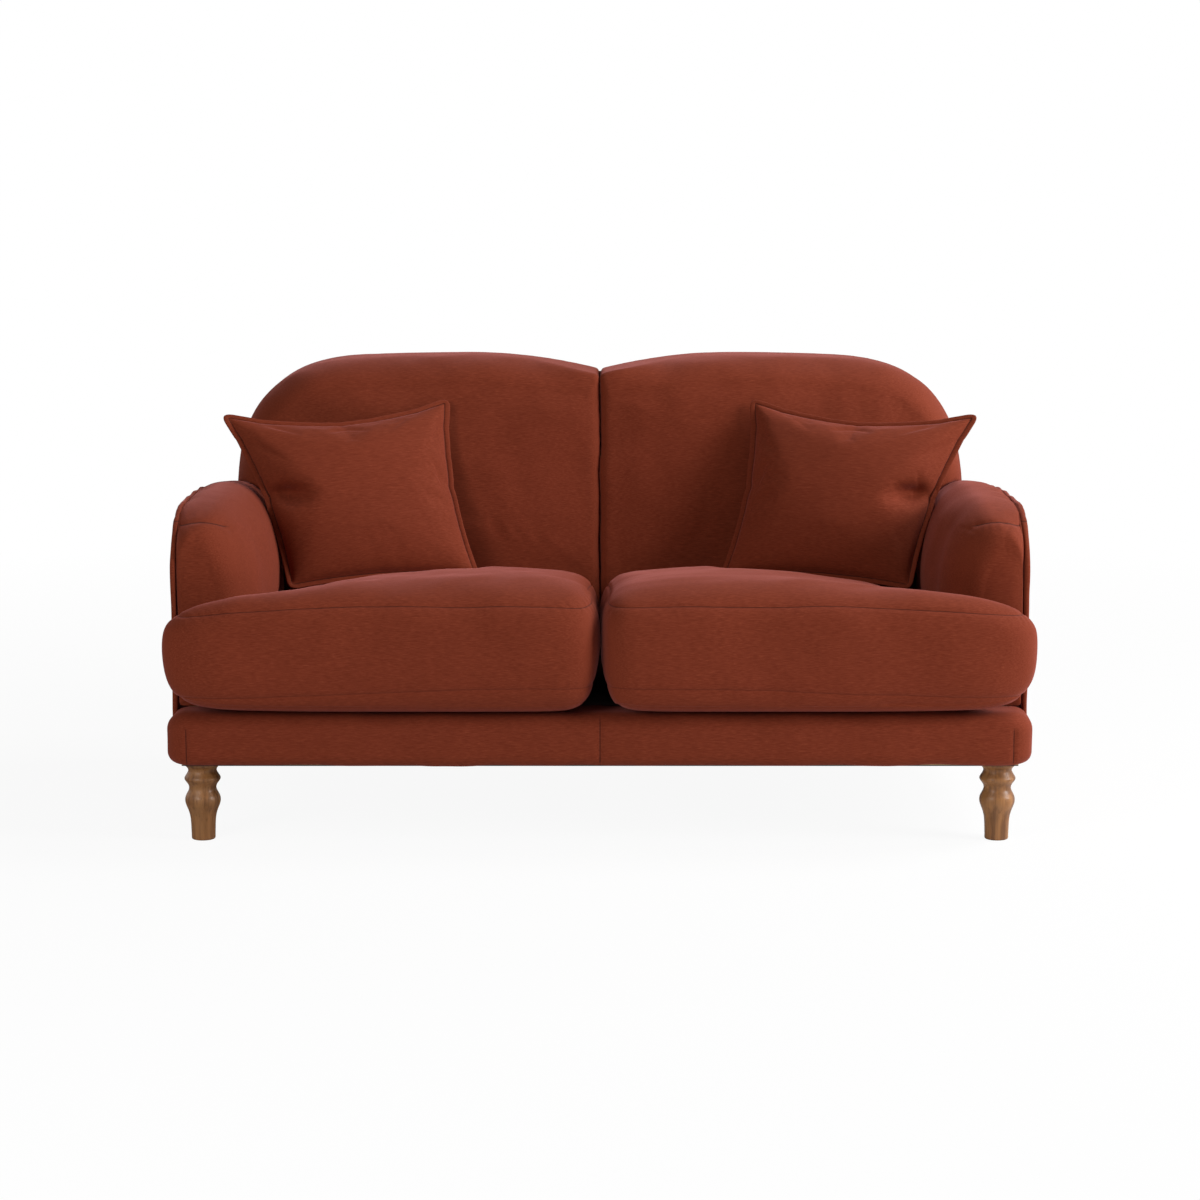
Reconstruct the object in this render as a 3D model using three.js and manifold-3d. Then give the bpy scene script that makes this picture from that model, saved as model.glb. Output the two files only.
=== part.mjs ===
// High back settee with two ear-fronted seat cushions and two scatter cushions.
// Millimetres, +Z up, the front faces -Y, and the origin is on the floor under the middle.
// The right half is built once, and both halves use it, the left one mirrored.
import * as THREE from 'three';
import { mergeVertices } from 'three/addons/utils/BufferGeometryUtils.js';
import Module from 'manifold-3d';

const wasm = await Module();
wasm.setup();

// Overall sizes
const WIDTH = 1600;
const DEPTH = 960;
const HEIGHT = 849;
const FIT = 0.3;
const OVERRUN = 5;
const WELD = 0.0005;

// Base frame and legs
const LEG_HEIGHT = 145;
const DUST_CLOTH = 1.5;
const RAIL_THICK = 24;
const RAIL_HIGH = 84;
const BEARER_WIDE = 30;
const BEARER_HIGH = 60;
const BLOCK_SIZE = 100;
const BLOCK_HIGH = 70;
const BORDER_SET_BACK = 40;
const BORDER_PAD = 25;
const BORDER_PROUD = 3;
const BORDER_CORNER = 45;
const BORDER_ROUND = 22;
const LEG_RADIUS = 33.4;
const REAR_LEG_TOP = 27;
const REAR_LEG_FOOT = 18;
const REAR_LEG_EDGE = 3;
const BOLT_RADIUS = 4;
const BOLT_IN_LEG = 40;
const BOLT_SIDE_SET = 1;
const BOLT_FRONT_SET = 8;
const NUT_RADIUS = 8;
const NUT_THICK = 6;
const BOLT_END = 3;

// Seat platform
const STRAP_WIDE = 60;
const STRAP_THICK = 2.5;
const STRAPS_PER_HALF = 3;
const DECK_THICK = 10.5;

// Arms
const EAR_PROUD = 4;
const ARM_WIDE = 158;
const ARM_TOP = 611;
const ARM_SET_BACK = 137;
const ARM_INNER_RUN = 104;
const ARM_INNER_RISE = 171;
const ARM_OUTER_DROP = 45;
const ARM_PEAK_SET = 280;
const ARM_REAR_FALL = 45;
const ARM_NOSE_SIDE = 46;
const ARM_NOSE_TOP = 62;
const ARM_NOSE_DEEP = 70;
const ARM_NOSE_BULGE = 5;
const ARM_PANEL_THICK = 13;
const ARM_PANEL_LOWER = 3;
const ARM_PANEL_CORNER = 100;
const ARM_BOARD_THICK = 22;
const ARM_BOARD_COVER = 56;
const ARM_BOARD_SET = 40;

// Back
const BACK_SIDE_SET = 53;
const BACK_SHOULDER_WIDE = 300;
const BACK_SHOULDER_HIGH = 289;
const BACK_APEX = 230;
const BACK_DROOP = 6;
const BACK_ROUND = 52;
const BACK_REAR_ROUND = 14;
const BACK_CROWN = 22;
const BACK_SEAM_HALF = 0.8;
const BACK_SEAM_DIP = 24;
const BACK_SEAM_RUN = 30;
const BACK_SKIN = 8;
const BACK_SKIN_LOWER = 7;
const BACK_PAD_AT_SEAT = 173;
const BACK_RAKE_START = 440;
const POST_WIDE = 45;
const POST_DEEP = 30;
const POST_SET = 18;
const TOP_RAIL_HIGH = 45;
const TOP_RAIL_COVER = 66;
const LOW_RAIL_HIGH = 50;
const LOW_RAIL_RISE = 40;
const BACK_STRAP_WIDE = 50;
const BACK_STRAPS = 3;

// Seat cushions
const SEAT_SPLIT = 3;
const SEAT_REAR_GAP = 13;
const SEAT_ARM_GAP = 2;
const SEAT_EAR_GAP = 9;
const SEAT_EAR_CREASE = 40;
const SEAT_EDGE_HIGH = 466;
const SEAT_REAR_DROP = 34;
const SEAT_ARM_DROP = 10;
const SEAT_CROWN = 28;
const SEAT_ARM_CROWN = 18;
const SEAT_SIDE_DRAW = 7;
const SEAT_SWELL = 3.1;
const SEAT_EAR_SWELL = 6.8;
const SEAT_WRAP = 28;
const ZIP_LONG = 380;
const ZIP_HIGH = 7;
const SLIDER_LONG = 14;
const SLIDER_HIGH = 9;
const SLIDER_THICK = 3;
const PULL_LONG = 18;
const PULL_THICK = 1.6;

// Scatter cushions, placed by their four corners, along X from the arm's inner side
const SCATTER_TOP_OUTER = new THREE.Vector3(99, 108, 741);
const SCATTER_TOP_INNER = new THREE.Vector3(-325, 214, 761);
const SCATTER_LOW_INNER = new THREE.Vector3(-388, 60, 447);
const SCATTER_LOW_OUTER = new THREE.Vector3(-38, -40, 435);
const SCATTER_THICK = 128;
const SCATTER_FLANGE_THICK = 4;
const SCATTER_WALL = 7;
const SCATTER_ZIP_LONG = 220;
const SCATTER_ZIP_THICK = 1.6;

// Proportions chosen by hand
const REAR_RAKE_SHARE = 0.125;
const FRONT_RAKE_SHARE = 0.227;
const SHOULDER_POWER_SHARE = 3;
const SEAM_INSET_SHARE = 0.5;
const NOSE_OUTER_SHARE = 0.2;
const EDGE_PULL_SHARE = 0.06;
const FLANGE_SHARE = 0.95;
const ZIP_OVERLAP_SHARE = 0.05;
const PILLOW_POWER_SHARE = 0.62;
const SCATTER_LINE_SHARES = [0, 0.3, 0.58, 0.82, 0.95, 1];
const PAD_LINE_SHARES = [0, 0.36, 0.68, 0.9];
const BACK_RING_SHARES = [0.7, 0.35];
const LEG_OUTLINE_SHARES = [
  [0.6, 0], [0.65, 0.02], [0.672, 0.13], [0.7, 0.27], [0.8, 0.37], [0.93, 0.44], [0.975, 0.505],
  [0.94, 0.56], [0.78, 0.64], [0.76, 0.67], [0.9, 0.72], [1, 0.77], [0.95, 0.82], [0.8, 0.885],
  [0.87, 0.93], [1, 0.955], [1, 1],
];

// Levels worked out from the sizes above
const dustTop = LEG_HEIGHT + FIT + DUST_CLOTH;
const baseLow = dustTop + FIT;
const railTop = baseLow + RAIL_HIGH;
const strapTop = railTop + FIT + STRAP_THICK;
const deckLow = strapTop + FIT;
const deckTop = deckLow + DECK_THICK;
const seatLow = deckTop + FIT;
const frontFace = -DEPTH / 2;
const borderFront = frontFace + BORDER_SET_BACK;
const frameFront = borderFront + BORDER_PAD;
const armFront = frontFace + ARM_SET_BACK;
const armOuter = WIDTH / 2 - EAR_PROUD;
const armInner = armOuter - ARM_WIDE;
const padOuter = armOuter - ARM_PANEL_THICK - FIT;
const frameHalf = armOuter - BORDER_PAD;
const boltX = frameHalf - RAIL_THICK - NUT_RADIUS - BOLT_SIDE_SET;
const boltFrontY = frameFront + RAIL_THICK + NUT_RADIUS + BOLT_FRONT_SET;
const rearFoot = rearPlane(baseLow) - FIT;
const boltRearY = rearFoot - RAIL_THICK - NUT_RADIUS - BOLT_FRONT_SET;
const postOuter = armInner - POST_SET;
const strapPitch = (postOuter - POST_WIDE) / STRAPS_PER_HALF;
const backHalf = armOuter - BACK_SIDE_SET;
const seatRear = BACK_PAD_AT_SEAT - SEAT_REAR_GAP;
const seatOuter = armInner - SEAT_ARM_GAP;

// Raked planes of the back, as places along Y at a height z
function rearPlane(z) {
  return DEPTH / 2 - BACK_SKIN - (HEIGHT - z) * REAR_RAKE_SHARE;
}

function frontPlane(z) {
  return BACK_PAD_AT_SEAT + Math.max(z - BACK_RAKE_START, 0) * FRONT_RAKE_SHARE;
}

// Materials
const FABRIC_COLOUR = 0x7a3826;
const materials = {
  fabric: surface(FABRIC_COLOUR, 0.85, 0),
  oak: surface(0x7d5330, 0.5, 0),
  beech: surface(0xc9a574, 0.7, 0),
  plywood: surface(0xb8935f, 0.75, 0),
  webbing: surface(0x3b342c, 0.9, 0),
  platformCloth: surface(0x4b2a20, 0.95, 0),
  dustCloth: surface(0x1d1c1b, 0.95, 0),
  foam: surface(0xe6dcc0, 0.95, 0),
  feather: surface(0xe9e6df, 0.95, 0),
  zipTape: surface(0x5a2b1f, 0.8, 0),
  steel: surface(0x9b9c9e, 0.35, 0.9),
};

function surface(color, roughness, metalness) {
  return new THREE.MeshStandardMaterial({ color, roughness, metalness });
}

// Mesh helpers
function closedMesh(points, triangles) {
  const geometry = new THREE.BufferGeometry();
  geometry.setAttribute('position', new THREE.Float32BufferAttribute(points.flatMap((p) => p.toArray()), 3));
  const volume = triangles.reduce((sum, [a, b, c]) => {
    return sum + points[a].dot(new THREE.Vector3().crossVectors(points[b], points[c]));
  }, 0);
  geometry.setIndex(triangles.flatMap(([a, b, c]) => (volume < 0 ? [a, c, b] : [a, b, c])));
  return geometry;
}

function toSolid(geometry) {
  const bare = geometry.clone();
  bare.deleteAttribute('normal');
  bare.deleteAttribute('uv');
  const welded = mergeVertices(bare, WELD);
  return new wasm.Manifold(new wasm.Mesh({
    numProp: 3,
    vertProperties: new Float32Array(welded.attributes.position.array),
    triVerts: new Uint32Array(welded.index.array),
  }));
}

function toGeometry(solid) {
  const mesh = solid.getMesh();
  const geometry = new THREE.BufferGeometry();
  geometry.setAttribute('position', new THREE.BufferAttribute(new Float32Array(mesh.vertProperties), 3));
  geometry.setIndex(new THREE.BufferAttribute(new Uint32Array(mesh.triVerts), 1));
  return geometry;
}

function cut(geometry, ...cutters) {
  return toGeometry(cutters.reduce((solid, cutter) => solid.subtract(toSolid(cutter)), toSolid(geometry)));
}

function block(x0, x1, y0, y1, z0, z1) {
  const geometry = new THREE.BoxGeometry(x1 - x0, y1 - y0, z1 - z0);
  return geometry.translate((x0 + x1) / 2, (y0 + y1) / 2, (z0 + z1) / 2);
}

function rod(x, y, z0, z1, radius, sides) {
  const geometry = new THREE.CylinderGeometry(radius, radius, z1 - z0, sides);
  return geometry.rotateX(Math.PI / 2).translate(x, y, (z0 + z1) / 2);
}

// A loft through rings with as many points each, closed by a fan at both ends
function loft(rings, startTip, endTip) {
  const count = rings[0].length;
  const points = [...rings.flat(), startTip, endTip];
  const tips = [points.length - 2, points.length - 1];
  const triangles = [];
  for (let k = 0; k < count; k += 1) {
    const next = (k + 1) % count;
    for (let r = 0; r + 1 < rings.length; r += 1) {
      const low = r * count;
      const high = low + count;
      triangles.push([low + k, low + next, high + next], [low + k, high + next, high + k]);
    }
    const last = (rings.length - 1) * count;
    triangles.push([tips[0], next, k], [tips[1], last + k, last + next]);
  }
  return closedMesh(points, triangles);
}

function middle(ring) {
  return ring.reduce((sum, p) => sum.add(p), new THREE.Vector3()).divideScalar(ring.length);
}

// A prism across X from an outline in the YZ plane
function acrossX(outline, x0, x1) {
  const ring = (x) => outline.map(([y, z]) => new THREE.Vector3(x, y, z));
  return loft([ring(x0), ring(x1)], middle(ring(x0)), middle(ring(x1)));
}

// A leaning board between two planes parallel to the rear of the back
function leaningBoard(x0, x1, z0, z1, front, rear) {
  return acrossX([
    [rearPlane(z0) - front, z0],
    [rearPlane(z0) - rear, z0],
    [rearPlane(z1) - rear, z1],
    [rearPlane(z1) - front, z1],
  ], x0, x1);
}

function quarter(steps, visit) {
  return Array.from({ length: steps + 1 }, (_, k) => visit(k / steps * Math.PI / 2));
}

// Catmull-Clark smoothing of a cage of cells
function cageOf(counts, filled, place) {
  const keys = new Map();
  const points = [];
  const faces = [];
  const vertex = (i, j, k) => {
    const key = [i, j, k].join();
    if (!keys.has(key)) {
      keys.set(key, points.length);
      points.push(place(i, j, k));
    }
    return keys.get(key);
  };
  const inside = (i, j, k) => {
    const within = i >= 0 && j >= 0 && k >= 0 && i < counts[0] && j < counts[1] && k < counts[2];
    return within && filled(i, j, k);
  };
  const sides = [
    [[-1, 0, 0], [[0, 0, 0], [0, 0, 1], [0, 1, 1], [0, 1, 0]]],
    [[1, 0, 0], [[1, 0, 0], [1, 1, 0], [1, 1, 1], [1, 0, 1]]],
    [[0, -1, 0], [[0, 0, 0], [1, 0, 0], [1, 0, 1], [0, 0, 1]]],
    [[0, 1, 0], [[0, 1, 0], [0, 1, 1], [1, 1, 1], [1, 1, 0]]],
    [[0, 0, -1], [[0, 0, 0], [0, 1, 0], [1, 1, 0], [1, 0, 0]]],
    [[0, 0, 1], [[0, 0, 1], [1, 0, 1], [1, 1, 1], [0, 1, 1]]],
  ];
  for (let i = 0; i < counts[0]; i += 1) {
    for (let j = 0; j < counts[1]; j += 1) {
      for (let k = 0; k < counts[2]; k += 1) {
        if (inside(i, j, k)) {
          for (const [[di, dj, dk], corners] of sides) {
            if (!inside(i + di, j + dj, k + dk)) {
              faces.push(corners.map(([a, b, c]) => vertex(i + a, j + b, k + c)));
            }
          }
        }
      }
    }
  }
  return { points, faces };
}

function smoothed({ points, faces }, levels) {
  if (levels === 0) {
    return closedMesh(points, faces.flatMap(([a, b, c, d]) => [[a, b, c], [a, c, d]]));
  }
  const faceMiddles = faces.map((face) => middle(face.map((v) => points[v])));
  const edges = new Map();
  const around = points.map(() => ({ faces: [], edges: [] }));
  const edgeOf = (a, b) => edges.get([Math.min(a, b), Math.max(a, b)].join());
  faces.forEach((face, f) => face.forEach((a, k) => {
    const b = face[(k + 1) % face.length];
    const key = [Math.min(a, b), Math.max(a, b)].join();
    if (!edges.has(key)) {
      const edge = { ends: [a, b], faces: [] };
      edges.set(key, edge);
      around[a].edges.push(edge);
      around[b].edges.push(edge);
    }
    edges.get(key).faces.push(f);
    around[a].faces.push(f);
  }));
  const moved = points.map((point, v) => {
    const n = around[v].faces.length;
    const faceMean = middle(around[v].faces.map((f) => faceMiddles[f]));
    const edgeMean = middle(around[v].edges.map((edge) => middle(edge.ends.map((e) => points[e]))));
    return faceMean.addScaledVector(edgeMean, 2).addScaledVector(point, n - 3).divideScalar(n);
  });
  const next = [...moved, ...faceMiddles];
  for (const edge of edges.values()) {
    edge.index = next.length;
    next.push(middle([...edge.ends.map((e) => points[e]), ...edge.faces.map((f) => faceMiddles[f])]));
  }
  const nextFaces = faces.flatMap((face, f) => face.map((v, k) => [
    v,
    edgeOf(v, face[(k + 1) % face.length]).index,
    moved.length + f,
    edgeOf(v, face[(k + face.length - 1) % face.length]).index,
  ]));
  return smoothed({ points: next, faces: nextFaces }, levels - 1);
}

// Legs and their bolts
function turnedLeg() {
  const outline = LEG_OUTLINE_SHARES.map(([r, h]) => new THREE.Vector2(r * LEG_RADIUS, h * LEG_HEIGHT));
  const profile = [new THREE.Vector2(0, 0), ...outline, new THREE.Vector2(0, LEG_HEIGHT)];
  return new THREE.LatheGeometry(profile, 16).rotateX(Math.PI / 2).translate(boltX, boltFrontY, 0);
}

function taperedLeg() {
  const ring = (half, z) => {
    const inner = half - REAR_LEG_EDGE;
    return [
      [inner, -half], [half, -inner], [half, inner], [inner, half],
      [-inner, half], [-half, inner], [-half, -inner], [-inner, -half],
    ].map(([x, y]) => new THREE.Vector3(boltX + x, boltRearY + y, z));
  };
  const rings = [ring(REAR_LEG_FOOT, 0), ring(REAR_LEG_TOP, LEG_HEIGHT)];
  return loft(rings, middle(rings[0]), middle(rings[1]));
}

function boltHole(y) {
  return rod(boltX, y, LEG_HEIGHT - BOLT_IN_LEG - FIT, railTop, BOLT_RADIUS + FIT, 12);
}

function legBolt(y) {
  const nutLow = baseLow + BLOCK_HIGH + FIT;
  const shank = rod(boltX, y, LEG_HEIGHT - BOLT_IN_LEG, nutLow + NUT_THICK + BOLT_END, BOLT_RADIUS, 12);
  const nut = rod(boltX, y, nutLow, nutLow + NUT_THICK, NUT_RADIUS, 6);
  return toGeometry(toSolid(shank).add(toSolid(nut)));
}

// Base frame
const blockSide = [frameHalf - RAIL_THICK - FIT - BLOCK_SIZE, frameHalf - RAIL_THICK - FIT];
const blockFront = [frameFront + RAIL_THICK + FIT, frameFront + RAIL_THICK + FIT + BLOCK_SIZE];
const blockRear = [rearFoot - RAIL_THICK - FIT - BLOCK_SIZE, rearFoot - RAIL_THICK - FIT];

function crossRail(y) {
  return block(-frameHalf, frameHalf, y, y + RAIL_THICK, baseLow, railTop);
}

function sideRail() {
  return block(frameHalf - RAIL_THICK, frameHalf, blockFront[0], blockRear[1], baseLow, railTop);
}

function centreBearer() {
  const half = BEARER_WIDE / 2;
  return block(-half, half, blockFront[0], blockRear[1], baseLow, baseLow + BEARER_HIGH);
}

function cornerBlock([y0, y1], boltY) {
  return cut(block(...blockSide, y0, y1, baseLow, baseLow + BLOCK_HIGH), boltHole(boltY));
}

function dustCover() {
  const sheet = block(-frameHalf, frameHalf, frameFront, rearFoot, LEG_HEIGHT + FIT, dustTop);
  const holes = [boltFrontY, boltRearY].map(boltHole);
  return cut(sheet, ...holes, ...holes.map((hole) => hole.clone().rotateY(Math.PI)
    .translate(0, 0, 2 * LEG_HEIGHT)));
}

function frontBorder() {
  const half = armOuter + BORDER_PROUD - BORDER_ROUND;
  const front = borderFront + BORDER_ROUND;
  const back = armFront - FIT + OVERRUN;
  const corner = BORDER_CORNER - BORDER_ROUND;
  const shape = new THREE.Shape();
  shape.moveTo(-half, back);
  shape.lineTo(-half, front + corner);
  shape.absarc(-half + corner, front + corner, corner, Math.PI, Math.PI * 1.5);
  shape.lineTo(half - corner, front);
  shape.absarc(half - corner, front + corner, corner, -Math.PI / 2, 0);
  shape.lineTo(half, back);
  const roll = new THREE.ExtrudeGeometry(shape, {
    depth: seatLow - baseLow - 2 * BORDER_ROUND,
    bevelThickness: BORDER_ROUND,
    bevelSize: BORDER_ROUND,
    bevelSegments: 3,
    curveSegments: 4,
  }).translate(0, 0, baseLow + BORDER_ROUND);
  const behind = block(-WIDTH, WIDTH, armFront - FIT, DEPTH, 0, HEIGHT);
  const room = block(-frameHalf - FIT, frameHalf + FIT, frameFront - FIT, DEPTH, 0, deckLow);
  return cut(roll, behind, room);
}

// Seat platform
function seatStrap(x) {
  const half = STRAP_WIDE / 2;
  return block(x - half, x + half, frameFront, rearFoot, railTop + FIT, strapTop);
}

function seatDeck() {
  const half = frameHalf - RAIL_THICK;
  return block(-half, half, armFront, rearFoot - RAIL_THICK, deckLow, deckTop);
}

// Arms
function armSection(y, sideIn, topDown, grow) {
  const inner = armInner + sideIn - grow;
  const outer = padOuter - sideIn * NOSE_OUTER_SHARE + grow;
  const top = ARM_TOP - topDown + grow;
  const crownX = armInner + ARM_INNER_RUN + (sideIn - sideIn * NOSE_OUTER_SHARE) / 2;
  const spring = ARM_TOP - ARM_INNER_RISE;
  const shoulder = top - ARM_OUTER_DROP;
  const low = seatLow - grow;
  const outline = [
    [inner, low],
    ...quarter(7, (a) => [crownX - (crownX - inner) * Math.cos(a), spring + (top - spring) * Math.sin(a)]),
    ...quarter(3, (a) => [crownX + (outer - crownX) * Math.sin(a), shoulder + ARM_OUTER_DROP * Math.cos(a)])
      .slice(1),
    [outer, low],
  ];
  return outline.map(([x, z]) => new THREE.Vector3(x, y(z), z));
}

const armPeak = armFront + ARM_PEAK_SET;
const armRear = rearPlane(ARM_TOP);
const armFallPlaces = [0.75, 0.5, 0.25].map((share) => armPeak + (armRear - armPeak) * share);

// How far the top of the arm has fallen at a place along Y behind its highest point
function armFall(y) {
  return ARM_REAR_FALL * (Math.max(y - armPeak, 0) / (armRear - armPeak)) ** 2;
}

function armForm(grow, rear) {
  const noseStart = armFront + ARM_NOSE_DEEP;
  const nose = quarter(4, (a) => armSection(
    () => noseStart - ARM_NOSE_DEEP * Math.sin(a) - grow,
    ARM_NOSE_SIDE * (1 - Math.cos(a)),
    ARM_NOSE_TOP * (1 - Math.cos(a)),
    grow,
  ));
  const body = armFallPlaces.map((y) => armSection(() => y, 0, armFall(y), grow));
  const rings = [armSection(rear, 0, ARM_REAR_FALL, grow), ...body, ...nose];
  const tip = middle(rings.at(-1));
  tip.y -= ARM_NOSE_BULGE;
  return loft(rings, middle(rings[0]), tip);
}

const boardX = [frameHalf - ARM_BOARD_THICK, frameHalf];
const boardY = [armFront + ARM_BOARD_SET, rearFoot - ARM_BOARD_SET];
const boardTop = ARM_TOP - ARM_BOARD_COVER;

function armBoard() {
  return block(...boardX, ...boardY, railTop + FIT, boardTop);
}

function armPad() {
  const pocket = block(boardX[0] - FIT, boardX[1] + FIT, boardY[0] - FIT, boardY[1] + FIT,
    seatLow - OVERRUN, boardTop + FIT);
  return cut(armForm(0, (z) => rearPlane(z) - FIT), pocket);
}

function armPanel() {
  const top = ARM_TOP - ARM_PANEL_LOWER;
  const corner = ARM_PANEL_CORNER;
  const outline = [
    [armFront, baseLow],
    ...quarter(6, (a) => [armFront + corner - corner * Math.cos(a), top - corner + corner * Math.sin(a)]),
    ...[...armFallPlaces].reverse().map((y) => [y, top - armFall(y)]),
    [rearPlane(top - ARM_REAR_FALL) - FIT, top - ARM_REAR_FALL],
    [rearPlane(baseLow) - FIT, baseLow],
  ];
  return acrossX(outline, armOuter - ARM_PANEL_THICK, armOuter);
}

// Outline of one half of the back in the XZ plane, drawn in by an inset
function backTop(x, inset) {
  const centre = backHalf - BACK_SHOULDER_WIDE;
  const reach = Math.max(x - centre, 0) / (BACK_SHOULDER_WIDE - inset);
  const power = SHOULDER_POWER_SHARE;
  const arch = (1 - Math.min(reach, 1) ** power) ** (1 / power) * (BACK_SHOULDER_HIGH - inset);
  const droop = BACK_DROOP * ((x - BACK_APEX) / BACK_SHOULDER_WIDE) ** 2;
  const dip = Math.max(BACK_SEAM_RUN + BACK_SEAM_HALF + inset * SEAM_INSET_SHARE - x, 0) / BACK_SEAM_RUN;
  const seam = BACK_SEAM_DIP * (1 - Math.sqrt(1 - Math.min(dip, 1) ** 2));
  return HEIGHT - BACK_SHOULDER_HIGH + arch - droop - seam;
}

function backOutline(inset) {
  const centre = backHalf - BACK_SHOULDER_WIDE;
  const seam = BACK_SEAM_HALF + inset * SEAM_INSET_SHARE;
  const run = BACK_SHOULDER_WIDE - inset;
  const xs = [
    ...[0, 0.1, 0.35, 1].map((share) => seam + BACK_SEAM_RUN * share),
    ...[0.3, 0.65, 1].map((share) => seam + BACK_SEAM_RUN + (centre - seam - BACK_SEAM_RUN) * share),
    ...quarter(10, (a) => centre + run * Math.sin(a) ** (2 / SHOULDER_POWER_SHARE)).slice(2),
  ];
  const top = xs.map((x) => [x, backTop(x, inset)]);
  return [[seam, seatLow], ...top, [backHalf - inset, seatLow]];
}

function backPad() {
  const ring = (inset, place) => backOutline(inset).map(([x, z]) => new THREE.Vector3(x, place(z), z));
  const rear = (z) => rearPlane(z) - FIT;
  const front = quarter(3, (a) => ring(
    BACK_ROUND * (1 - Math.cos(a)),
    (z) => frontPlane(z) + BACK_ROUND * (1 - Math.sin(a)),
  ));
  const rings = [ring(BACK_REAR_ROUND, rear), ring(0, (z) => rear(z) - BACK_REAR_ROUND), ...front];
  const faceRing = rings.at(-1);
  const hub = middle(faceRing);
  const crowned = (p, share) => {
    const q = p.clone().lerp(hub, 1 - share);
    q.y = Math.max(frontPlane(q.z) - BACK_CROWN * (1 - share ** 2), BACK_PAD_AT_SEAT);
    return q;
  };
  rings.push(...BACK_RING_SHARES.map((share) => faceRing.map((p) => crowned(p, share))));
  const pad = loft(rings, middle(rings[0]), crowned(hub, 0));
  const deep = POST_DEEP + STRAP_THICK + 4 * FIT;
  const pocketTop = HEIGHT - TOP_RAIL_COVER + FIT;
  const pocket = leaningBoard(-OVERRUN, postOuter + FIT, seatLow - OVERRUN, pocketTop, deep, -OVERRUN);
  return cut(pad, armForm(FIT, (z) => rearPlane(z) + OVERRUN), pocket);
}

// Back frame
const topRailLow = HEIGHT - TOP_RAIL_COVER - TOP_RAIL_HIGH;
const boardRear = 2 * FIT;
const boardFront = boardRear + POST_DEEP;

function backPost(x) {
  return leaningBoard(x, x + POST_WIDE, railTop + FIT, topRailLow - FIT, boardFront, boardRear);
}

function backTopRail() {
  return leaningBoard(-postOuter, postOuter, topRailLow, topRailLow + TOP_RAIL_HIGH, boardFront, boardRear);
}

function backLowRail() {
  const z0 = seatLow + LOW_RAIL_RISE;
  const x0 = POST_WIDE / 2 + FIT;
  return leaningBoard(x0, postOuter - POST_WIDE - FIT, z0, z0 + LOW_RAIL_HIGH, boardFront, boardRear);
}

function backStrap(k) {
  const low = seatLow + LOW_RAIL_RISE + LOW_RAIL_HIGH;
  const pitch = (topRailLow - low) / BACK_STRAPS;
  const z0 = low + pitch * (k + 0.5) - BACK_STRAP_WIDE / 2;
  const near = boardFront + FIT;
  return leaningBoard(-postOuter, postOuter, z0, z0 + BACK_STRAP_WIDE, near + STRAP_THICK, near);
}

function outsideBack() {
  const armTop = ARM_TOP - ARM_REAR_FALL;
  const half = backOutline(BACK_SKIN_LOWER).slice(1, -1).filter(([, z]) => z > armTop);
  const armCorner = quarter(3, (a) => [
    backHalf + (armOuter - backHalf) * Math.cos(a),
    armTop - ARM_OUTER_DROP + (ARM_OUTER_DROP - ARM_PANEL_LOWER) * Math.sin(a),
  ]);
  const right = [...half, ...armCorner.reverse(), [armOuter, baseLow]];
  const left = right.map(([x, z]) => [-x, z]).reverse();
  const shape = new THREE.Shape([...left, ...right].map(([x, z]) => new THREE.Vector2(x, -z)));
  const sheet = new THREE.ExtrudeGeometry(shape, { depth: BACK_SKIN, bevelEnabled: false, curveSegments: 1 });
  sheet.rotateX(-Math.PI / 2);
  const swapped = sheet.attributes.position;
  for (let v = 0; v < swapped.count; v += 1) {
    const z = -swapped.getZ(v);
    const through = swapped.getY(v);
    swapped.setXYZ(v, swapped.getX(v), rearPlane(-z) + through, -z);
  }
  return sheet;
}

// Seat cushions: a front ear wraps the arm
const seatMiddle = (SEAT_SPLIT / 2 + seatOuter) / 2;

function seatForm(inset, levels) {
  const x0 = SEAT_SPLIT / 2 + inset;
  const x3 = seatOuter - inset;
  const xs = [x0, x0 + (x3 - x0) / 3, x3 - (x3 - x0) / 3, x3, WIDTH / 2 - inset];
  const y1 = armFront - SEAT_EAR_GAP - inset;
  const y2 = y1 + SEAT_EAR_CREASE;
  const y4 = seatRear - inset;
  const ys = [frontFace + inset, y1, y2, (y2 + y4) / 2, y4];
  const low = seatLow + inset;
  const place = (i, j, k) => {
    const rearDrop = SEAT_REAR_DROP * Math.max(ys[j] - y2, 0) / (y4 - y2);
    const edge = SEAT_EDGE_HIGH - rearDrop - (i === 3 && j > 1 ? SEAT_ARM_DROP : 0) - inset;
    const crown = j > 0 && j < 4 ? [0, SEAT_CROWN, SEAT_ARM_CROWN, 0, 0][i] : 0;
    const drawn = k === 1 ? 0 : SEAT_SIDE_DRAW;
    const x = xs[i] + (i === 0 ? drawn - SEAT_SWELL : 0) + (i === 4 ? SEAT_EAR_SWELL - drawn : 0);
    const y = ys[j] + (j === 0 ? drawn - SEAT_SWELL : 0);
    return new THREE.Vector3(x, y, [low, (low + edge) / 2, edge + crown][k]);
  };
  return smoothed(cageOf([4, 4, 2], (i, j) => i < 3 || j === 0, place), levels);
}

const zipLevel = (seatLow + SEAT_EDGE_HIGH - SEAT_REAR_DROP) / 2;

function zipChain(grow) {
  const half = ZIP_LONG / 2 + grow;
  const high = ZIP_HIGH / 2 + grow;
  const inner = seatRear - SEAT_WRAP + FIT - (grow > 0 ? OVERRUN : 0);
  const outer = seatRear + (grow > 0 ? OVERRUN : 0);
  return block(seatMiddle - half, seatMiddle + half, inner, outer, zipLevel - high, zipLevel + high);
}

function seatCover() {
  return cut(seatForm(0, 2), seatForm(SEAT_WRAP - FIT, 1), zipChain(FIT));
}

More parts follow.
